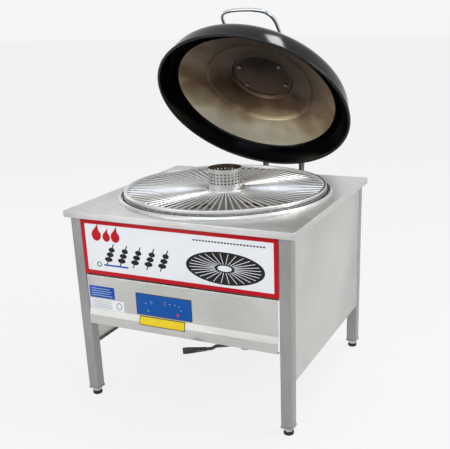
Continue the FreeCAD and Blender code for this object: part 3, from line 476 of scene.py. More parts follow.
# %% [markdown]
# ## The flue's brown inside
# The flue is heated from inside, so its inner wall is tinted brown and its outer wall is bright. The
# distance from the upright axis tells the two walls apart, and it picks the brown or the bright colour.

# %% Brown inner wall
def brown_inside(finish, code, inner, outer):
    """Give a tube's finish another colour where it lies nearer to the axis than a pair of radii."""
    tree = finish.node_tree
    base = tree.nodes["Principled BSDF"].inputs["Base Color"]
    bright = base.links[0].from_socket
    from_axis = vector_maths(tree, "MULTIPLY", seen_from(tree, (0, AXIS_Y * MM, 0)), (1, 1, 0))
    outside = ranged(tree, vector_maths(tree, "LENGTH", from_axis), 0.0, 1.0, inner * MM, outer * MM)
    tree.links.new(mixed(tree, outside, linear(code), bright), base)


brown_inside(flue_steel, "#5b5046", 56.6, 57.1)
print("flue's inner wall tinted")

# %% [markdown]
# ## Black enamel
# The lid is vitreous enamel fired on pressed steel. It is glass, so it is a deep black with a clear hard
# gloss, and it has a slow unevenness from the pressing. Orange peel, a ripple of about 6 mm, breaks the
# edges of reflections.

# %% Enamel
def enamel_finish():
    """Deep black glass with an uneven gloss and a fine ripple."""
    finish, tree, shader = new_finish("black_enamel", Metallic=0.0, IOR=1.5, Specular_IOR_Level=0.28)
    place = object_place(tree)
    clouds = noise(tree, place, 7.0, 4.0)
    coloured(tree, shader, blended(tree, clouds, "#030405", "#080a0f"), clouds, 0.07, 0.2)
    bumped(tree, shader, noise(tree, place, 160.0, 1.0), 0.05, 0.001)
    return finish


enamel = enamel_finish()

# %% [markdown]
# ## The heated reflector
# The stepped plate inside the lid is bare steel that has been hot many times. Heat leaves an oxide film
# that turns from straw through bronze to brown, darkest in the sunken middle where the flue's gas meets
# it. The colour is set by the distance from the lid's own axis, and by painted light: a slant across the
# plate paints a highlight, up to near white, towards the hinge and the left, and paints shade towards the
# free edge and the right. The Mapping node, set to Texture, turns the tilted lid back to lying flat, so
# that radius and height can be read straight off.

# %% Oxidised steel
def reflector_oxide_and_painted_light():
    """Steel with an oxide film whose colour goes by radius and by clouds, plus painted light slanted across
    the plate.
    """
    finish, tree, shader = new_finish("oxide_and_painted_light_steel", Metallic=0.95)
    flat = seen_from(tree, LID_PLACE.translation, (TILT, 0, 0))
    parts = add_node(tree, "ShaderNodeSeparateXYZ", {"Vector": flat}).outputs
    level = add_node(tree, "ShaderNodeCombineXYZ", {"X": parts["X"], "Y": parts["Y"]}).outputs[0]
    radius = vector_maths(tree, "LENGTH", level)
    clouds = noise(tree, flat, 6.0, 2.0)
    # Painted light: lighter, up to near white, towards the hinge and the left; darker towards the free edge
    # and the right.
    painted_light_axis = maths(tree, "MULTIPLY_ADD", parts["X"], -0.55, parts["Y"])
    painted_light_slant = ranged(tree, painted_light_axis, -0.36, 0.5, -0.33, 0.33)
    uneven = ranged(tree, clouds, -0.18, 0.18, 0.25, 0.75)
    outward = ranged(tree, radius, 0.1, 0.62, 0.08, 0.3)
    total = maths(tree, "ADD", maths(tree, "ADD", outward, painted_light_slant), uneven)
    colour = blended(tree, total, "#211914", "#fbf1da", 0.0, 1.0)
    for spot, code in ((0.35, "#4a3a2e"), (0.6, "#7d6850"), (0.8, "#c9b592")):
        colour.node.color_ramp.elements.new(spot).color = linear(code)
    coloured(tree, shader, colour, clouds, 0.2, 0.42)
    rings = maths(tree, "SINE", maths(tree, "MULTIPLY", radius, 420.0))
    dents = noise(tree, flat, 7.0, 0.0)
    bumped(tree, shader, maths(tree, "MULTIPLY_ADD", rings, 0.01, dents), 0.2, 0.01)
    return finish


oxide_and_painted_light = reflector_oxide_and_painted_light()
print("enamel and oxidised steel made")

# %% [markdown]
# ## Paint, plastic and print
# The remaining finishes are paint, moulded plastic, vinyl and printed film. They are not metals. Each has
# a base colour that varies a little, a roughness that varies more, and a small bump at the scale of its
# own grain.

# %% Coated and moulded finishes
def soft_finish(name, dark, light, rough, grain, bump=0.1, clouds=12.0, gloss=0.5):
    """A non-metal with slight clouds of colour and a fine grain."""
    finish, tree, shader = new_finish(name, Metallic=0.0, IOR=1.5, Specular_IOR_Level=gloss)
    place = object_place(tree)
    fine = noise(tree, place, grain, 2.0)
    coloured(tree, shader, blended(tree, noise(tree, place, clouds, 4.0), dark, light), fine, *rough)
    bumped(tree, shader, fine, bump, 0.0006)
    return finish

# %% Printed film
def film_finish(name, dark, light, rough=(0.25, 0.35), grain=30, bump=0.03):
    """Printed film: smooth, with a weak gloss."""
    return soft_finish(name, dark, light, rough, grain, bump, gloss=0.2)


def key_finish(name, dark, light):
    """A print under the keypad's membrane."""
    return soft_finish(name, dark, light, (0.25, 0.35), 200, 0.03)


white_film = film_finish("white_printed_vinyl", "#f1f2f3", "#fbfbfc", (0.18, 0.28))
red_ink = film_finish("red_printed_vinyl", "#c2091a", "#cf0d20", (0.2, 0.3))
black_ink = film_finish("black_printed_vinyl", "#141414", "#222222")
grey_ink = film_finish("grey_printed_vinyl", "#8b8d90", "#a3a5a8")
blue_ink = film_finish("blue_printed_vinyl", "#1446a8", "#2560c4")
yellow_film = film_finish("yellow_vinyl", "#f2cf12", "#f8da2c", (0.3, 0.4))
keypad_blue = film_finish("blue_membrane_film", "#0552a4", "#0a5bb0", (0.3, 0.36), 60, 0.02)
pale_print = key_finish("pale_membrane_print", "#b9d2ec", "#d8e6f4")
green_key = key_finish("green_membrane_print", "#1d9a58", "#2cae69")
red_key = key_finish("red_membrane_print", "#e0222e", "#ee3340")
amber_key = key_finish("amber_membrane_print", "#e08a2c", "#eda04a")
print("printed finishes made")

# %% Plastic, rubber, paint and boards
keypad_dark = soft_finish("black_moulded_bezel", "#17181a", "#232427", (0.35, 0.5), 300)
rubber = soft_finish("black_rubber", "#161617", "#29292a", (0.6, 0.8), 250, bump=0.2)
grip_vinyl = soft_finish("dipped_black_vinyl", "#101011", "#1d1d1e", (0.3, 0.45), 150)
hinge_paint = soft_finish("black_stoved_paint", "#191a1b", "#2a2b2c", (0.35, 0.5), 220, bump=0.15)
wool = soft_finish("mineral_wool_board", "#9c8f5c", "#c6b987", (0.85, 0.98), 420, bump=0.8, clouds=40)
fibre_board = soft_finish("glass_fibre_board", "#1f5c38", "#2c7248", (0.35, 0.5), 400)
housing = soft_finish("grey_moulded_nylon", "#3d4043", "#54575a", (0.4, 0.55), 260)
terminal = soft_finish("white_moulded_nylon", "#d9d5c8", "#e9e6dc", (0.4, 0.55), 260)
gland_nylon = soft_finish("black_moulded_nylon", "#1b1b1c", "#2b2b2c", (0.4, 0.55), 260)
# A black rope that is painted shade in the collar's gutter.
painted_shade_rope_finish = soft_finish("black_rope_painted_shade", "#191817", "#2b2927", (0.8, 0.95), 420, bump=0.5, gloss=0.2)
print("coated finishes made")

# %% [markdown]
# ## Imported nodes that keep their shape
# Sub-parts that are already true, or that are hidden in the cabinet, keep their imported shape. Each only
# gets its finish, through its own material slots. The pieces that replace nodes come afterwards.

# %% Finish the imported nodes
SLOT_FINISH = {
    "steel_frame": frame_steel, "foot_black": rubber, "steel_panel": panel_steel, "sign": white_film,
    "wool": wool, "keypad_black": keypad_dark, "keypad_blue": keypad_blue, "circuit_board": fibre_board,
    "electric_plastic": housing, "terminal_plastic": terminal, "gland_plastic": gland_nylon,
    "steel_pan": pan_steel, "heater": heater_sheath, "heater_bar": heater_strap, "probe": probe_steel,
    "grate": wire_steel, "flue": flue_steel, "pipe": pipe_steel, "valve_brass": brass,
    "lever_steel": lever_steel, "grip": grip_vinyl, "fastener": bolt_steel, "enamel": enamel,
    "reflector": oxide_and_painted_light, "handle": chrome, "hinge_paint": hinge_paint, "shaft": shaft_steel,
    "spring": spring_steel,
}
slot_of = {entry["node"]: entry["material_slot"] for entry in frame["record"]["subparts"]}
for name, node in NODES.items():
    finish = SLOT_FINISH[slot_of[name]]
    for place in node.material_slots:
        place.material = finish
    if not node.material_slots:
        node.data.materials.append(finish)
print("packed nodes finished:", len(NODES))

# %% [markdown]
# ## Standing in for a node
# Most of the pieces below take the place of one imported node. Such a piece rides on the node's body
# and has the same finish unless it is given a better one.

# %% Stand in for a node
def stand_in(piece, node, finish=None, **settings):
    """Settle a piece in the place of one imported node."""
    slot = slot_of[node]
    return settle(piece, NODES[node]["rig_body"], finish or SLOT_FINISH[slot], slot, [node], **settings)

# %% [markdown]
# ## The camera
# The photograph was taken from the front right, at the height of the open lid's top, with a fairly long
# lens. The camera's place and turns were worked out from the corners of the table, and the lens is
# shifted a little to match the picture's frame.

# %% Camera
CAMERA_PLACE = (1.1064, -2.2267, 1.2681)
YAW, PITCH, ROLL = 0.439, 0.350, -0.032
camera_data = bpy.data.cameras.new("view_of_the_photograph")
camera = bpy.data.objects.new("view_of_the_photograph", camera_data)
bpy.context.scene.collection.objects.link(camera)
bpy.context.scene.camera = camera
level = Vector((-math.sin(YAW), math.cos(YAW), 0))
right = Vector((math.cos(YAW), math.sin(YAW), 0))
ahead = level * math.cos(PITCH) - Vector((0, 0, math.sin(PITCH)))
above = right.cross(ahead)
across = right * math.cos(ROLL) + above * math.sin(ROLL)
upward = above * math.cos(ROLL) - right * math.sin(ROLL)
facing = Matrix((across, upward, -ahead)).transposed().to_4x4()
camera.matrix_world = Matrix.Translation(CAMERA_PLACE) @ facing
camera_data.lens = 58.88
camera_data.shift_x = -0.0409
camera_data.shift_y = 0.1173
camera_data.clip_end = 60.0
bpy.context.scene.view_settings.view_transform = "Standard"

# %% [markdown]
# ## The floor
# The floor is a flat pale sheet. Seen by the camera or in a mirror it mostly glows, so that it runs into
# the pale room behind it. All other rays meet plain paper, which sends light up under the table. The part
# that does not glow shows a faint shadow.

# %% Floor
FLOOR_GLOW = 0.84


def shown_rays(tree):
    """1 for the rays that make a surface visible: from the camera, from a mirror, or through glass."""
    rays = add_node(tree, "ShaderNodeLightPath").outputs
    mirrored = maths(tree, "MAXIMUM", rays["Is Glossy Ray"], rays["Is Transmission Ray"])
    return maths(tree, "MAXIMUM", rays["Is Camera Ray"], mirrored)


floor = start("studio_floor", bpy.ops.mesh.primitive_plane_add, size=60, location=(0, 0, 0))
bpy.ops.mesh.subdivide(number_cuts=8)
leave_editing()
paper, tree, shader = new_finish("pale_paper", Roughness=0.9)
fibre = noise(tree, object_place(tree), 60.0, 3.0)
tree.links.new(blended(tree, fibre, "#c6c6c6", "#cecece"), shader.inputs["Base Color"])
glow = add_node(tree, "ShaderNodeEmission", {"Color": linear("#fdfdfd"), "Strength": 1.0}).outputs[0]
share = maths(tree, "MULTIPLY", shown_rays(tree), FLOOR_GLOW)
sheet = add_node(tree, "ShaderNodeMixShader", {0: share, 1: shader.outputs[0], 2: glow})
tree.links.new(sheet.outputs[0], tree.nodes["Material Output"].inputs["Surface"])
floor.data.materials.append(paper)
floor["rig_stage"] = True
print("camera and floor stand")

# %% [markdown]
# ## The light
# Light comes from the bright room itself and from five soft panels: a low one in front at the left, a
# long one high in front, a small one above, one at the right and a weak one behind at the left. Steel and
# enamel show what they mirror, so the panels are also the bright shapes that lie on the lid.

# %% Lamps
def panel_light(name, place, aim, size, power, tint="#ffffff"):
    """A rectangular soft light that faces a point. Its places and sizes are in metres."""
    data = bpy.data.lights.new(name, "AREA")
    data.shape = "RECTANGLE"
    data.size, data.size_y = size
    data.energy = power
    data.color = linear(tint)[:3]
    lamp = bpy.data.objects.new(name, data)
    bpy.context.scene.collection.objects.link(lamp)
    lamp.location = place
    lamp.rotation_euler = (Vector(aim) - Vector(place)).to_track_quat("-Z", "Y").to_euler()
    return lamp


panel_light("window_light", (-1.8, -3.4, 1.2), (0, 0, 0.5), (2.0, 1.0), 20.0)
panel_light("front_light", (0.7, -3.3, 3.2), (0, 0, 0.7), (3.2, 0.8), 44.0, "#e6efff")
panel_light("top_light", (0.83, 0.81, 3.4), (0.1, 0, 0.9), (0.9, 0.5), 24.0)
panel_light("side_light", (3.2, 0.4, 1.9), (0, 0, 0.6), (1.2, 1.4), 45.0)
panel_light("rim_light", (-3.4, 1.4, 1.9), (0, 0.1, 1.0), (0.8, 1.2), 14.0)
print("five lamps stand")

# %% Room
room = bpy.data.worlds.new("pale_room")
bpy.context.scene.world = room
room.use_nodes = True
tree = room.node_tree
tree.nodes.clear()
seen = add_node(tree, "ShaderNodeBackground", {"Color": linear("#f6f6f6"), "Strength": 1.0}).outputs[0]
light = add_node(tree, "ShaderNodeBackground", {"Color": linear("#f6f7f9"), "Strength": 0.62}).outputs[0]
mix = add_node(tree, "ShaderNodeMixShader", {0: shown_rays(tree), 1: light, 2: seen})
add_node(tree, "ShaderNodeOutputWorld", {"Surface": mix.outputs[0]})
print("room stands")

# %% [markdown]
# ## The legs
# Each leg is a square steel tube with corners rounded by its forming. One leg is made at the front left,
# and copied to the other three corners. A cube is stretched to the tube's size, and its four upright
# edges are bevelled to the tube's 3 mm corner.

# %% Legs
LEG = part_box("leg_front_left")
LEG_X, LEG_Y = ((LEG[0] + LEG[1]) / 2 / MM)[:2]
DEEP = 694.9
CORNERS = {"front_right": (-2 * LEG_X, 0, 0), "rear_left": (0, DEEP, 0), "rear_right": (-2 * LEG_X, DEEP, 0)}


def square_bar(name, low, high, radius, rim=0.0):
    """A cube with its upright edges rounded, and its end edges eased."""
    piece = block(name, low, high)
    round_edges(piece, radius, 4, lambda place, item: along(item, 2))
    if rim:
        levels = (low[2], high[2])
        round_edges(piece, rim, 2, lambda place, item: not along(item, 2)
                    and min(abs(place.z - level) for level in levels) < 0.01)
    return piece


def four_of(piece, pattern):
    """The front left piece, and its copies at the other corners."""
    four = {"front_left": piece}
    for corner, shift in CORNERS.items():
        four[corner] = copy_of(piece, pattern.format(corner), shift)
    return four


first = square_bar("leg_front_left_tube", LEG[0] / MM, LEG[1] / MM, 3.0)
for corner, leg in four_of(first, "leg_{}_tube").items():
    stand_in(leg, f"leg_{corner}")

# %% [markdown]
# ## Caps, feet and nuts
# A steel cap closes each leg's lower end, and a screwed foot with a hexagon nut stands under it. The cap
# is a flat square bar, the foot is turned and gets a ring of small grips, and the nut is a cylinder with
# six sides. Each is made once and copied like the leg.

# %% Caps
CAP_LOW, CAP_HIGH, CAP_HALF = 25.5, 31.0, 21
cap = square_bar("cap_of_leg", (LEG_X - CAP_HALF, LEG_Y - CAP_HALF, CAP_LOW),
                 (LEG_X + CAP_HALF, LEG_Y + CAP_HALF, CAP_HIGH), 4.5, 1.2)
stand_in(joined("leg_caps_moulded", list(four_of(cap, "cap_{}").values())), "leg_caps")

# %% Feet
foot_rings = [(0, 0), (14.5, 0), (16.5, 2), (16.5, 10), (14.5, 12), (9, 12.5), (9, 25.2), (0, 25.2)]
foot = turned("foot_front_left_turned", eased(foot_rings, 1.2, 2), 32, (LEG_X, LEG_Y))
choose(foot, "FACE", lambda place, item: 3 < place.z < 7 and abs(item.normal.z) < 0.3 and item.index % 2 == 0)
bpy.ops.mesh.inset(thickness=0.3 * MM, depth=-0.6 * MM, use_individual=True)
for corner, piece in four_of(foot, "foot_{}_turned").items():
    stand_in(piece, f"foot_{corner}")

# %% Nuts of the feet
nut = rod("foot_front_left_nut", 6, 15.5, 11.5, (LEG_X, LEG_Y, 18.5))
choose(nut, "FACE", lambda place, item: abs(item.normal.z) > 0.9)
bpy.ops.mesh.inset(thickness=2.5 * MM, depth=0.6 * MM)
break_edges(nut, 0.6, angle=25)
for corner, piece in four_of(nut, "foot_{}_nut").items():
    settle(piece, f"foot_{corner}", bolt_steel, "steel_frame")
print("feet and nuts stand")

# %% [markdown]
# ## The table top
# The top is one stainless sheet, folded down 21 mm all round, with its corners welded and ground round. A
# cube keeps its outer size. Its lower face goes, its edges are bevelled to the fold's radius, and
# Solidify gives it the sheet's thickness. The pan's hole is cut last, with a cylinder and a Boolean.

# %% Table top
TOP_LEVEL = 672.6
low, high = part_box("top_plate")
top = block("table_top_sheet", low / MM, high / MM)
choose(top, "FACE", lambda place, item: item.normal.z < -0.9)
bpy.ops.mesh.delete(type="FACE")
round_edges(top, 3.0, 4, lambda place, item: along(item, 2))
round_edges(top, 2.5, 4, lambda place, item: abs(place.z - TOP_LEVEL) < 0.01 and not item.is_boundary)
bpy.ops.mesh.select_all(action="SELECT")
bpy.ops.mesh.remove_doubles(threshold=0.00002)
modify(top, "SOLIDIFY", thickness=1.5 * MM, offset=-1)
cut_away(top, rod("hole_punch", 144, 334.5, 100, (0, AXIS_Y, 660)))
stand_in(top, "top_plate", plate_steel)

# %% [markdown]
# ## The raised collar and the pan
# A turned ring stands on the table top round the hole. Its outside slopes from a broad foot to a narrow
# lip, a gutter runs round its top, and all its corners are eased, which is what catches the light. The
# pan hangs inside it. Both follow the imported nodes' own sections, with enough segments to look round.

# %% Collar
LIP_LEVEL = 684.3
collar_section = eased(
    [(333.5, TOP_LEVEL), (367.0, TOP_LEVEL), (366.0, 678.0), (362.5, LIP_LEVEL), (358.0, LIP_LEVEL),
     (356.5, 676.5), (350.0, 676.5), (348.5, LIP_LEVEL), (333.5, LIP_LEVEL), (333.5, TOP_LEVEL)],
    [0, 0.5, 2.0, 1.6, 1.2, 1.5, 1.5, 1.0, 1.2, 0], 3,
)
collar = turned("pan_collar_ring", collar_section, 144)
stand_in(collar, "pan_collar", collar_steel)

# %% [markdown]
# ## Painted shade in the gutter
# A dark braided rope lies in the collar's gutter, close under the rim of the lid when it is shut. It is
# painted shade: its black stands for the shadowed line under the grate's band. It is a ring, and every
# third face is pushed out a little for the braid.

# %% Rope as painted shade
# Painted shade: this dark ring stands for the shadow in the gutter under the grate's band.
shade_rope = start("gutter_rope_painted_shade", bpy.ops.mesh.primitive_torus_add, major_segments=144, minor_segments=12,
             major_radius=350.9 * MM, minor_radius=2.2 * MM, location=(0, AXIS_Y * MM, 681.8 * MM))
choose(shade_rope, "FACE", lambda place, item: item.index % 3 == 0)
bpy.ops.mesh.inset(thickness=0.4 * MM, depth=0.3 * MM, use_individual=True)
settle(shade_rope, "cabinet", painted_shade_rope_finish, "wool", smooth=60)

# %% [markdown]
# ## The pan
# The pan is spun from one disc, with a sloping floor and a wall. A small window is cut through the wall
# in front, where the ends of the heating elements leave.

# %% Pan
pan_section = [(64, 372), (64, 370.5), (333, 410.5), (333, 684), (331.5, 684), (331.5, 412), (64, 372)]
pan = turned("pan_spun", eased(pan_section, [0, 0, 28, 0.3, 0.3, 27, 0], 5), 120)
cut_away(pan, block("pan_window", (-66, -329.5, 572), (66, -284.5, 598)))
stand_in(pan, "firepot")

# %% [markdown]
# ## The grate
# Seventy-six round wires run from a hub ring to an upright outer band, like spokes. On the real grate the
# wires are welded to both rings. One wire is a slim cylinder with its ends pushed into the rings, and it
# is copied round the axis. A wire needs only eight sides, because there are so many of them.

# %% Grate
WIRES, WIRE_LEVEL, WIRE_FROM, WIRE_TO = 76, 686.98, 66, 346.5
wire_middle = ((WIRE_FROM + WIRE_TO) / 2, AXIS_Y, WIRE_LEVEL)
wire = rod("grate_wire", 8, 2.6, WIRE_TO - WIRE_FROM, wire_middle, (0, math.pi / 2, 0))
turns = [2 * math.pi * (k + 0.5) / WIRES for k in range(WIRES)]
wires = [copy_of(wire, f"wire_{k}", turn=turn, pivot=(0, AXIS_Y, 0)) for k, turn in enumerate(turns)]
bpy.data.objects.remove(wire)
band_section = [(336.5, 687.6), (347.5, 687.6), (347.5, 699.5), (336.5, 699.5), (336.5, 687.6)]
band = turned("grate_band", eased(band_section, [0, 1.2, 2.6, 2.0, 0], 3), 144)
hub_section = [(58.6, 684.5), (72, 684.5), (72, 691.5), (58.6, 691.5), (58.6, 684.5)]
hub = turned("grate_hub", eased(hub_section, [0, 1.5, 2.2, 1.5, 0], 3), 96)
stand_in(joined("grate_of_wires", [band, hub] + wires), "grate")

# %% [markdown]
# ## The flue tube
# The flue is a tube with four rows of square holes under its rim. A ring of edges is extruded to every
# level where a hole starts or ends. The faces that lie where the holes are then go, and Solidify gives
# the tube its wall. The ring has four edges to each column of holes, spaced so that the hole and the web
# each get two.

# %% Flue tube
COLUMNS, ROWS, HOLE, HOLE_TALL, ROW_STEP, FIRST_ROW, FLUE = 28, 4, 6.2, 5.2, 10.6, 710.4, 57.5
hole_turn = HOLE / FLUE
pitch = 2 * math.pi / COLUMNS
sills = [FIRST_ROW + ROW_STEP * row for row in range(ROWS)]
levels = [372.1] + [z for sill in sills for z in (sill, sill + HOLE_TALL)] + [758.0, 761.5]
tube = turned("flue_tube_pierced", [(FLUE, z) for z in levels], COLUMNS * 4)
mesh = bmesh.from_edit_mesh(tube.data)
for vertex in mesh.verts:
    turn = math.atan2(vertex.co.y - AXIS_Y * MM, vertex.co.x)
    step = round(turn / (pitch / 4))
    column, part = divmod(step, 4)
    exact = pitch * column + (0, hole_turn / 2, pitch / 2, pitch - hole_turn / 2)[part]
    vertex.co.x = FLUE * MM * math.cos(exact)
    vertex.co.y = (FLUE * math.sin(exact) + AXIS_Y) * MM
bmesh.update_edit_mesh(tube.data)


def in_hole(place, item):
    """Whether a face lies where a hole is."""
    turn = math.atan2(place.y - AXIS_Y, place.x) / pitch
    beside = abs(turn - round(turn)) * pitch < hole_turn / 2
    return beside and any(sill < place.z < sill + HOLE_TALL for sill in sills)


print("hole faces:", choose(tube, "FACE", in_hole))
bpy.ops.mesh.delete(type="FACE")
modify(tube, "SOLIDIFY", thickness=1.2 * MM, offset=-1)
stand_in(tube, "flue_tube")

# %% [markdown]
# ## The lid's dome
# The lid is pressed like a wok: a broad dome, a shoulder, a short skirt and a rolled bead. It is drawn
# lying flat, as one closed section that runs down the outside, round the bead and back up the inside, and
# it is tipped open at the end. The curve goes smoothly through points read from the silhouette in the
# photograph.

# %% Lid
DOME = [(0, 158), (60, 158), (100, 157), (160, 148.5), (226, 133), (270, 115), (301, 98), (326, 78),
        (339, 60), (346, 38), (350, 18), (351.5, 8)]
LID_GAUGE, BEAD_MIDDLE, BEAD = 1.6, 355.6, 4.9
outer = flowing(DOME, 4)


def offset_section(points, gauge):
    """The same curve, moved square to itself."""
    result = []
    for index, here in enumerate(points):
        before = Vector(points[max(index - 1, 0)])
        after = Vector(points[min(index + 1, len(points) - 1)])
        run = (after - before).normalized()
        result.append((max(here[0] + run[1] * gauge, 0), here[1] - run[0] * gauge))
    return result


bead_turns = [math.radians(130 - 25 * step) for step in range(13)]
bead = [(BEAD_MIDDLE + BEAD * math.cos(turn), BEAD * math.sin(turn)) for turn in bead_turns]
inner = offset_section(outer, LID_GAUGE)
inner[0] = (0, DOME[0][1] - LID_GAUGE)
lid = turned("lid_dome", outer + bead + inner[::-1], 160, (0, 0))
stand_in(lid, "lid_shell", smooth=60, at=LID_PLACE)

# %% [markdown]
# ## The stepped reflector
# Inside the dome hangs a thin plate with a wide flat slope, a small step and a sunken middle. It is
# turned in the same way. Its edge is rounded a little, and the steps have soft corners, where the light
# draws thin rings.

# %% Reflector
PLATE = eased([(295, 43), (203, 93), (200, 96), (192, 102), (116, 127.5), (110, 138), (100, 139), (0, 139)],
              [0, 3, 2, 3, 6, 4, 4, 0], 4)
plate_back = [(r, z + 1.0) for r, z in PLATE]
reflector = turned("reflector_plate", PLATE[::-1] + [(295.6, 43.5)] + plate_back, 144, (0, 0))
stand_in(reflector, "reflector", smooth=50, at=LID_PLACE)

# %% [markdown]
# ## The handle
# One chromed bar is bent into a wide arch that leans over the front of the dome. A bar that is bent in a
# jig is what a curve with a round bevel gives, so its line is drawn as a curve and turned to a mesh.

# %% Handle
def curve_to_mesh(name, curve):
    """Put a curve in the scene and turn it to a mesh."""
    piece = bpy.data.objects.new(name, curve)
    bpy.context.scene.collection.objects.link(piece)
    select_only(piece)
    bpy.ops.object.convert(target="MESH")
    return bpy.context.object


def bar_along(name, line, thick, sides=6):
    """A round bar along a line."""
    curve = bpy.data.curves.new(name, "CURVE")
    curve.dimensions = "3D"
    curve.bevel_depth = thick * MM
    curve.bevel_resolution = sides
    curve.use_fill_caps = True
    spline = curve.splines.new("POLY")
    spline.points.add(len(line) - 1)
    for point, here in zip(spline.points, line):
        point.co = (*[v * MM for v in here], 1)
    return curve_to_mesh(name, curve)


half_arch = [(78, 0, 163.2), (79, -4, 192), (82, -26, 205), (92, -110, 204), (97, -180, 198), (96, -228, 192),
             (80, -262, 187), (45, -277, 184)]
arch = flowing(half_arch + [(0, -280, 184)] + [(-x, y, z) for x, y, z in half_arch[::-1]], 6)
stand_in(bar_along("lid_handle_bar", arch, 6.5), "lid_handle", at=LID_PLACE)

# %% [markdown]
# ## Folded panels
# The control fascia is one sheet with soft bends: a flat field, a slope outwards and a short lip that
# hangs down. A plane is cut back to a single edge, and the edge is extruded once for each run of the
# section. Solidify then gives the sheet its 1.2 mm.

# %% Fascia
def folded(name, half, section, gauge=1.2):
    """A sheet folded across the whole width, from its middle line as pairs of y and z."""
    y, z = section[0]
    piece = start(name, bpy.ops.mesh.primitive_plane_add, size=2 * half * MM,
                  location=(0, (y + half) * MM, z * MM))
    choose(piece, "VERT", lambda place, item: place.y > y + half)
    bpy.ops.mesh.delete(type="VERT")
    bpy.ops.mesh.select_mode(type="EDGE")
    bpy.ops.mesh.select_all(action="SELECT")
    for (y0, z0), (y1, z1) in zip(section, section[1:]):
        bpy.ops.mesh.extrude_edges_move(TRANSFORM_OT_translate={"value": (0, (y1 - y0) * MM, (z1 - z0) * MM)})
    modify(piece, "SOLIDIFY", thickness=gauge * MM, offset=0)
    return piece


fascia_section = [(-348.8, 456), (-362.6, 456), (-362.6, 338), (-368.6, 316), (-368.6, 283.8), (-354, 283.8)]
fascia = folded("control_fascia_sheet", 341.3, eased(fascia_section, [0, 2.0, 8.0, 5.0, 2.0, 0]))
stand_in(fascia, "control_fascia")

# %% [markdown]
# ## Softened copies
# Brackets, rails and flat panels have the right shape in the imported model, but every edge there is knife
# sharp. A real edge is broken by the cutter or the coat of paint, and catches a thin line of light. So in
# a copy of the node the doubled vertices are merged, the flat faces are joined, and a small Bevel breaks
# the edges.

# %% Softened nodes
def softened(node, width, finish=None):
    """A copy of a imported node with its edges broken. It stands for the node."""
    piece = copy_of(NODES[node], node + "_edged")
    piece.parent = None
    for key in list(piece.keys()):
        del piece[key]
    select_only(piece)
    bpy.ops.object.mode_set(mode="EDIT")
    bpy.ops.mesh.select_all(action="SELECT")
    bpy.ops.mesh.remove_doubles(threshold=0.00001)
    bpy.ops.mesh.dissolve_limited(angle_limit=math.radians(1))
    break_edges(piece, width)
    return stand_in(piece, node, finish)


for width, nodes in (
    (0.5, ("side_panel_right", "side_panel_left", "back_panel")),
    (1.2, ("front_rails", "rear_rails", "side_rail_right", "side_rail_left")),
    (1.2, ("hinge_brackets", "hinge_beam", "hinge_arm_right", "hinge_arm_left")),
    (0.4, ("control_box",)),
    (1.0, ("contactor",)),
    (0.8, ("terminal_block", "handle_straps")),
    (0.5, ("valve_lever",)),
    (0.7, ("lever_nut", "saddle_bolts")),
    (0.8, ("bracket_bolts",)),
    (0.6, ("heater_bars", "reflector_spacers")),
    (0.5, ("panel_screws",)),
):
    for node in nodes:
        softened(node, width)
softened("reflector_bolts", 0.8, heater_strap)

# %% [markdown]
# ## The lid's saddle
# The hinge arms hold the lid through a curved steel plate that fits its skirt. A full ring with the
# skirt's own section is turned, and three Bisect cuts leave only the sector at the back.

# %% Saddle
SADDLE_HALF, SADDLE_FRONT = 108 * MM, 250 * MM
saddle_section = [(351.8, 12.0), (355.8, 12.0), (352.3, 34.0), (343.3, 62.0), (339.3, 62.0), (348.3, 34.0),
                  (351.8, 12.0)]
saddle = turned("lid_saddle_plate", eased(saddle_section, [0, 0.8, 6, 0.8, 0.8, 6, 0], 3), 180, (0, 0))
for cut, side in (((SADDLE_HALF, 0, 0), (1, 0, 0)), ((-SADDLE_HALF, 0, 0), (-1, 0, 0)),
                  ((0, SADDLE_FRONT, 0), (0, -1, 0))):
    bpy.ops.mesh.select_all(action="SELECT")
    bpy.ops.mesh.bisect(plane_co=cut, plane_no=side, clear_outer=True, use_fill=True)
stand_in(saddle, "lid_saddle", at=LID_PLACE)

# %% [markdown]
# ## The sign panel
# A gloss white panel with a red printed border hangs under the table top. The border is a print, so it is
# part of the finish: the distance from the white field is worked out from the coordinates, and red starts
# a little outside it, which rounds the field's corners. The panel gets a plain design of flames, skewers
# and a round grill, in red, black and white.

# %% Sign
SIGN_MIDDLE = (0, -363.2 * MM, 554.75 * MM)
SIGN_FIELD = (327.5 * MM, 0, 76 * MM)


def sign_finish():
    """White gloss with a red printed border. The field is half as wide and half as high as the white part."""
    finish, tree, shader = new_finish("printed_sign_panel", Metallic=0.0, IOR=1.5, Specular_IOR_Level=0.15)
    flat = vector_maths(tree, "MULTIPLY", seen_from(tree, SIGN_MIDDLE), (1, 0, 1))
    past = vector_maths(tree, "SUBTRACT", vector_maths(tree, "ABSOLUTE", flat), SIGN_FIELD)
    distance = vector_maths(tree, "LENGTH", vector_maths(tree, "MAXIMUM", past, (0, 0, 0)))
    border = ranged(tree, distance, 0.0, 1.0, 0.0023, 0.0029)
    clouds = noise(tree, object_place(tree), 9.0, 3.0)
    white = blended(tree, clouds, "#f5f5f5", "#fbfbfb")
    red = blended(tree, clouds, "#c2091a", "#cf0d20")
    coloured(tree, shader, mixed(tree, border, white, red), clouds, 0.16, 0.28)
    return finish


low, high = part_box("sign_panel")
sign = block("sign_panel_sheet", low / MM, high / MM)
round_edges(sign, 0.3, 2, lambda place, item: True)
stand_in(sign, "sign_panel", sign_finish())

# %% [markdown]
# ## Printed motifs
# Vinyl motifs are cut from film a fifth of a millimetre thick. A flat curve with a fill and a little
# depth is just that. Round outlines get smooth handles, and straight strokes are plain polygons. Each
# motif is made a mesh and turned to stand on the panel's face.

# %% Cut film
SIGN_FACE = -363.2
ON_FILM = SIGN_FACE - 0.25


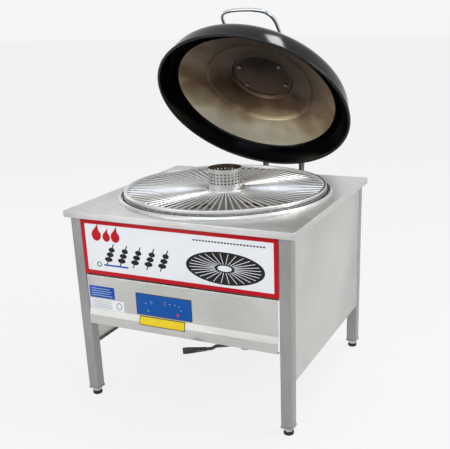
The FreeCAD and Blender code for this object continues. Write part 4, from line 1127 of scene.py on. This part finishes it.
def cut_film(name, outlines, finish, face=SIGN_FACE, thick=0.2, smooth=True):
    """Film cut to closed outlines of x and z, lying on a face that looks to the front."""
    curve = bpy.data.curves.new(name, "CURVE")
    curve.dimensions = "2D"
    curve.fill_mode = "BOTH"
    curve.extrude = thick / 2 * MM
    curve.resolution_u = 8
    for outline in outlines:
        spline = curve.splines.new("BEZIER" if smooth else "POLY")
        points = spline.bezier_points if smooth else spline.points
        points.add(len(outline) - 1)
        for point, here in zip(points, outline):
            if smooth:
                point.co = (here[0] * MM, here[1] * MM, 0)
                point.handle_left_type = point.handle_right_type = "VECTOR" if len(here) > 2 else "AUTO"
            else:
                point.co = (here[0] * MM, here[1] * MM, 0, 1)
        spline.use_cyclic_u = True
    film = curve_to_mesh(name, curve)
    film.rotation_euler = (math.pi / 2, 0, 0)
    film.location = (0, (face - thick / 2) * MM, 0)
    bpy.ops.object.transform_apply(location=True, rotation=True, scale=True)
    return settle(film, "cabinet", finish, "sign")


def flame(x, z, tall):
    """A flame drop: round below, drawn out to a leaning tip. The third number of the tip keeps it sharp."""
    k = tall / 60
    drop = [(0, 0), (15, 8), (19, 24), (10, 40), (9, 60, 1), (-3, 44), (-16, 28), (-15, 10)]
    return [(x + right * k, z + up * k, *sharp) for right, up, *sharp in drop]


def ellipse(x, z, wide, tall, count=12):
    """Points round an ellipse."""
    turns = [2 * math.pi * k / count for k in range(count)]
    return [(x + wide * math.cos(turn), z + tall * math.sin(turn)) for turn in turns]


def bar(x0, z0, x1, z1, wide):
    """A straight stroke with square ends."""
    run = Vector((x1 - x0, z1 - z0)).normalized()
    side = Vector((-run.y, run.x)) * wide / 2
    return [(x0 + side.x, z0 + side.y), (x1 + side.x, z1 + side.y),
            (x1 - side.x, z1 - side.y), (x0 - side.x, z0 - side.y)]


# %% Flames and skewers
cut_film("sign_flames", [flame(-288, 578, 58), flame(-250, 578, 46), flame(-216, 578, 54)], red_ink)
skewers_x = [-242 + 50 * k for k in range(5)]
skewers = [bar(x - 14, 500, x + 18, 572, 3.8) for x in skewers_x]
cut_film("sign_skewers", skewers, black_ink, smooth=False)
morsels = []
for x in skewers_x:
    for part in range(3):
        t = 0.26 + 0.23 * part
        morsels.append(ellipse(x - 14 + 32 * t, 500 + 72 * t, 14.5 - 1.5 * part, 8.0, 10))
cut_film("sign_morsels", morsels, black_ink, face=ON_FILM)

# %% Round grill
GRILL_X, GRILL_Z, SPOKES = 170, 536, 28
disc = [ellipse(GRILL_X, GRILL_Z, 132, 52, 24), ellipse(GRILL_X, GRILL_Z, 24, 9.5)]
cut_film("sign_grill_disc", disc, black_ink)
spokes = []
for k in range(SPOKES):
    turn = 2 * math.pi * (k + 0.5) / SPOKES
    right, up = math.cos(turn), math.sin(turn)
    near = (GRILL_X + 34 * right, GRILL_Z + 13.4 * up)
    far = (GRILL_X + 120 * right, GRILL_Z + 47.3 * up)
    spokes.append(bar(*near, *far, 1.8))
cut_film("sign_grill_spokes", spokes, white_film, face=ON_FILM, smooth=False)

# %% Small marks
cut_film("sign_small_mark", [ellipse(-286, 498, 10, 9), ellipse(-286, 498, 5.5, 5, 10)], green_key)
cut_film("sign_small_rule", [bar(-268, 498, -175, 498, 5.5)], blue_ink, smooth=False)
dots = [bar(66 + 10.5 * k, 617, 73 + 10.5 * k, 617, 4.4) for k in range(23)]
cut_film("sign_dotted_rule", dots, black_ink, smooth=False)

# %% [markdown]
# ## The keypad
# The keypad is a membrane film in a thin dark bezel. The bezel is a plate whose face is inset and pushed
# back, and the film lies in it. The keys are prints under the film, raised a little where a finger
# presses: small pale marks, a green start key and a red stop key.

# %% Keypad
def rounded_plate(name, low, high, radius, soft=0.4):
    """A flat plate with round corners, seen from the front."""
    piece = block(name, low, high)
    round_edges(piece, radius, 5, lambda place, item: along(item, 1))
    round_edges(piece, soft, 2, lambda place, item: not along(item, 1) and abs(place.y - low[1]) < 0.01)
    return piece


def looks_forward(place, item):
    """Whether a face looks to the front."""
    return item.normal.y < -0.99


low, high = (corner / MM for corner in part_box("keypad_frame"))
bezel = rounded_plate("keypad_bezel", low, high, 3.0)
choose(bezel, "FACE", looks_forward)
bpy.ops.mesh.inset(thickness=2.2 * MM, depth=-0.9 * MM)
stand_in(bezel, "keypad_frame")
low, high = (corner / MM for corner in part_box("keypad_overlay"))
film = rounded_plate("keypad_membrane", low, high, 1.5, 0.25)
stand_in(film, "keypad_overlay")
FILM_FACE = low.y

# %% [markdown]
# ## The keys
# Each key is a low cylinder with a broken edge, which stands a little out of the film. All keys of one
# colour are joined, because they need one finish.

# %% Keys
def keys(name, places, radius, finish, proud=0.5):
    """Low round keys that stand on the film."""
    parts = []
    for k, (x, z) in enumerate(places):
        key = rod(f"{name}_{k}", 20, radius, proud, (x, FILM_FACE - proud / 2, z), (math.pi / 2, 0, 0))
        choose(key, "FACE", looks_forward)
        bpy.ops.mesh.bevel(offset=0.35 * proud * MM, segments=2, affect="EDGES")
        parts.append(key)
    return settle(joined(name, parts), "cabinet", finish, "keypad_blue")


marks = [(-120, 384), (-100, 392), (-96, 386), (-30, 392), (-10, 392), (4, 388), (10, 376)]
keys("keypad_marks", marks, 1.7, pale_print)
keys("keypad_lamps", [(-48, 396), (-48, 388)], 1.7, amber_key)
keys("keypad_start_key", [(-112, 359)], 4.6, green_key, 0.7)
keys("keypad_stop_key", [(-2, 359)], 4.6, red_key, 0.7)

# %% [markdown]
# ## Labels
# A yellow strip is stuck over the fascia's fold below the keypad, and a blue and a pale label sit at its
# left. They hold plain bands and rules. The strip is folded like the fascia, and the labels are thin
# plates.

# %% Strip over the fold
def folded_label(name, x0, x1, section, finish):
    """Film a fifth of a millimetre thick, laid over a fold of the fascia."""
    piece = folded(name, (x1 - x0) / 2, eased(section, 5), 0.2)
    piece.data.transform(Matrix.Translation(((x0 + x1) / 2 * MM, 0, 0)))
    return settle(piece, "cabinet", finish, "sign")


folded_label("strip_edge", -146, 23, [(-363.45, 338.2), (-369.35, 316.4), (-369.35, 307.2)], black_ink)
folded_label("strip_yellow", -143.5, 20.5, [(-364.3, 335.8), (-369.6, 316.4), (-369.6, 309.6)], yellow_film)

# %% Labels
LABEL_BACK, LABEL_FACE = -363.2, -363.5


def label(name, x0, z0, x1, z1, finish):
    """A thin label with round corners on the fascia's flat field."""
    plate = rounded_plate(name, (x0, LABEL_FACE, z0), (x1, LABEL_BACK, z1), 1.5, 0.1)
    return settle(plate, "cabinet", finish, "sign")


label("label_blue", -336, 379, -238, 420, blue_ink)
bands = [bar(-328, 387 + 8 * k, -248 - 8 * (k % 2), 387 + 8 * k, 1.8) for k in range(4)]
cut_film("label_blue_bands", bands, pale_print, face=LABEL_FACE, smooth=False)
label("label_pale", -336, 339, -205, 375, white_film)
rules = [bar(-329, 345 + 6 * k, -252, 345 + 6 * k, 1.3) for k in range(5)]
cut_film("label_pale_rules", rules, grey_ink, face=LABEL_FACE, smooth=False)
cut_film("label_pale_box", [ellipse(-224, 357, 11, 12), ellipse(-224, 357, 8, 9)], grey_ink, face=LABEL_FACE)

# %% [markdown]
# ## The heating elements and the probe
# Each element is a metal-sheathed rod bent into a ring, whose two ends leave through the pan's window. A
# round bar along the ring's line makes it. The probe is a thin rod beside their ends.

# %% Heaters
HEAT_LEVEL, RING_STEPS = 585, 72


def ring_line(radius, leg, end):
    """A ring that is open in front, with two straight ends a leg's width from the middle."""
    opening = math.asin(leg / radius)
    line = [(leg, AXIS_Y - end, HEAT_LEVEL)]
    for k in range(RING_STEPS + 1):
        turn = -math.pi / 2 + opening + (2 * math.pi - 2 * opening) * k / RING_STEPS
        line.append((radius * math.cos(turn), AXIS_Y + radius * math.sin(turn), HEAT_LEVEL))
    line.append((-leg, AXIS_Y - end, HEAT_LEVEL))
    return line


for name, radius, leg in (("heater_outer", 285, 44.0), ("heater_inner", 190, 20.0)):
    stand_in(bar_along(name + "_rod", ring_line(radius, leg, 345), 4.4, 4), name)
probe = bar_along("temperature_probe_rod", [(58, -336.5, HEAT_LEVEL), (58, -281.5, HEAT_LEVEL)], 3.9, 4)
stand_in(probe, "temperature_probe")

# %% [markdown]
# ## Under the pan
# The sump, the drain pipe, its ball valve and the outlet elbow are round on the real cooker. The sump is
# turned. The pipe and the elbow are drawn as bars along a line, in the drain's own frame, which has its X
# axis along the pipe.

# %% Drain
ELBOW_OUT, ELBOW_END, BEND, BEND_STEPS = 418, -31, 15, 13
sump_section = [(0, 287), (53, 287), (62, 297), (62, 370.3), (60.5, 370.3), (60.5, 297.6), (52.5, 288.5),
                (0, 288.5)]
sump = turned("sump_cup", eased(sump_section, [0, 4, 6, 0.3, 0.3, 5, 3, 0], 3), 64)
stand_in(sump, "sump")
pipe = bar_along("drain_pipe_tube", [(60.7, 0, 0), (339.9, 0, 0)], 13.4)
stand_in(pipe, "drain_pipe", at=DRAIN_PLACE)
elbow_line = [(396, 0, 0)]
for k in range(BEND_STEPS + 1):
    turn = math.pi / 2 * k / BEND_STEPS
    elbow_line.append((ELBOW_OUT - BEND + BEND * math.sin(turn), 0, BEND * math.cos(turn) - BEND))
elbow = bar_along("drain_elbow_tube", elbow_line + [(ELBOW_OUT, 0, ELBOW_END)], 14.6)
stand_in(elbow, "drain_elbow", at=DRAIN_PLACE)

# %% [markdown]
# ## The lever's grip
# The valve's lever ends in a dipped vinyl grip, thick at its end and slim where the lever enters. A block
# is cut into slices, each slice is scaled to its own width, and a large bevel rounds it all.

# %% Grip
GRIP_FROM, GRIP_TO, GRIP_MIDDLE, GRIP_LEVEL = -118, -194, 368, -46
SLICES = (0.5, 0.58, 0.68, 0.8, 0.92, 1.0, 0.9)
grip = block("lever_grip_dipped", (355, GRIP_TO, -51), (381, GRIP_FROM, -41))
bpy.ops.mesh.subdivide(number_cuts=len(SLICES) - 2)
for k, slim in enumerate(SLICES):
    level = GRIP_FROM + (GRIP_TO - GRIP_FROM) * k / (len(SLICES) - 1)
    choose(grip, "VERT", lambda place, item: abs(place.y - level) < 1)
    bpy.ops.transform.resize(value=(slim, 1, min(1.25, 0.7 + 0.55 * slim)),
                             center_override=(GRIP_MIDDLE * MM, level * MM, GRIP_LEVEL * MM))
break_edges(grip, 4.2, 4, 40)
stand_in(grip, "lever_grip", at=DRAIN_PLACE, smooth=60)

# %% [markdown]
# ## Size
# The dressed object must stay inside the imported model's box.

# %% Finish
low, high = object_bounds()
print("dressed pieces:", len(made))
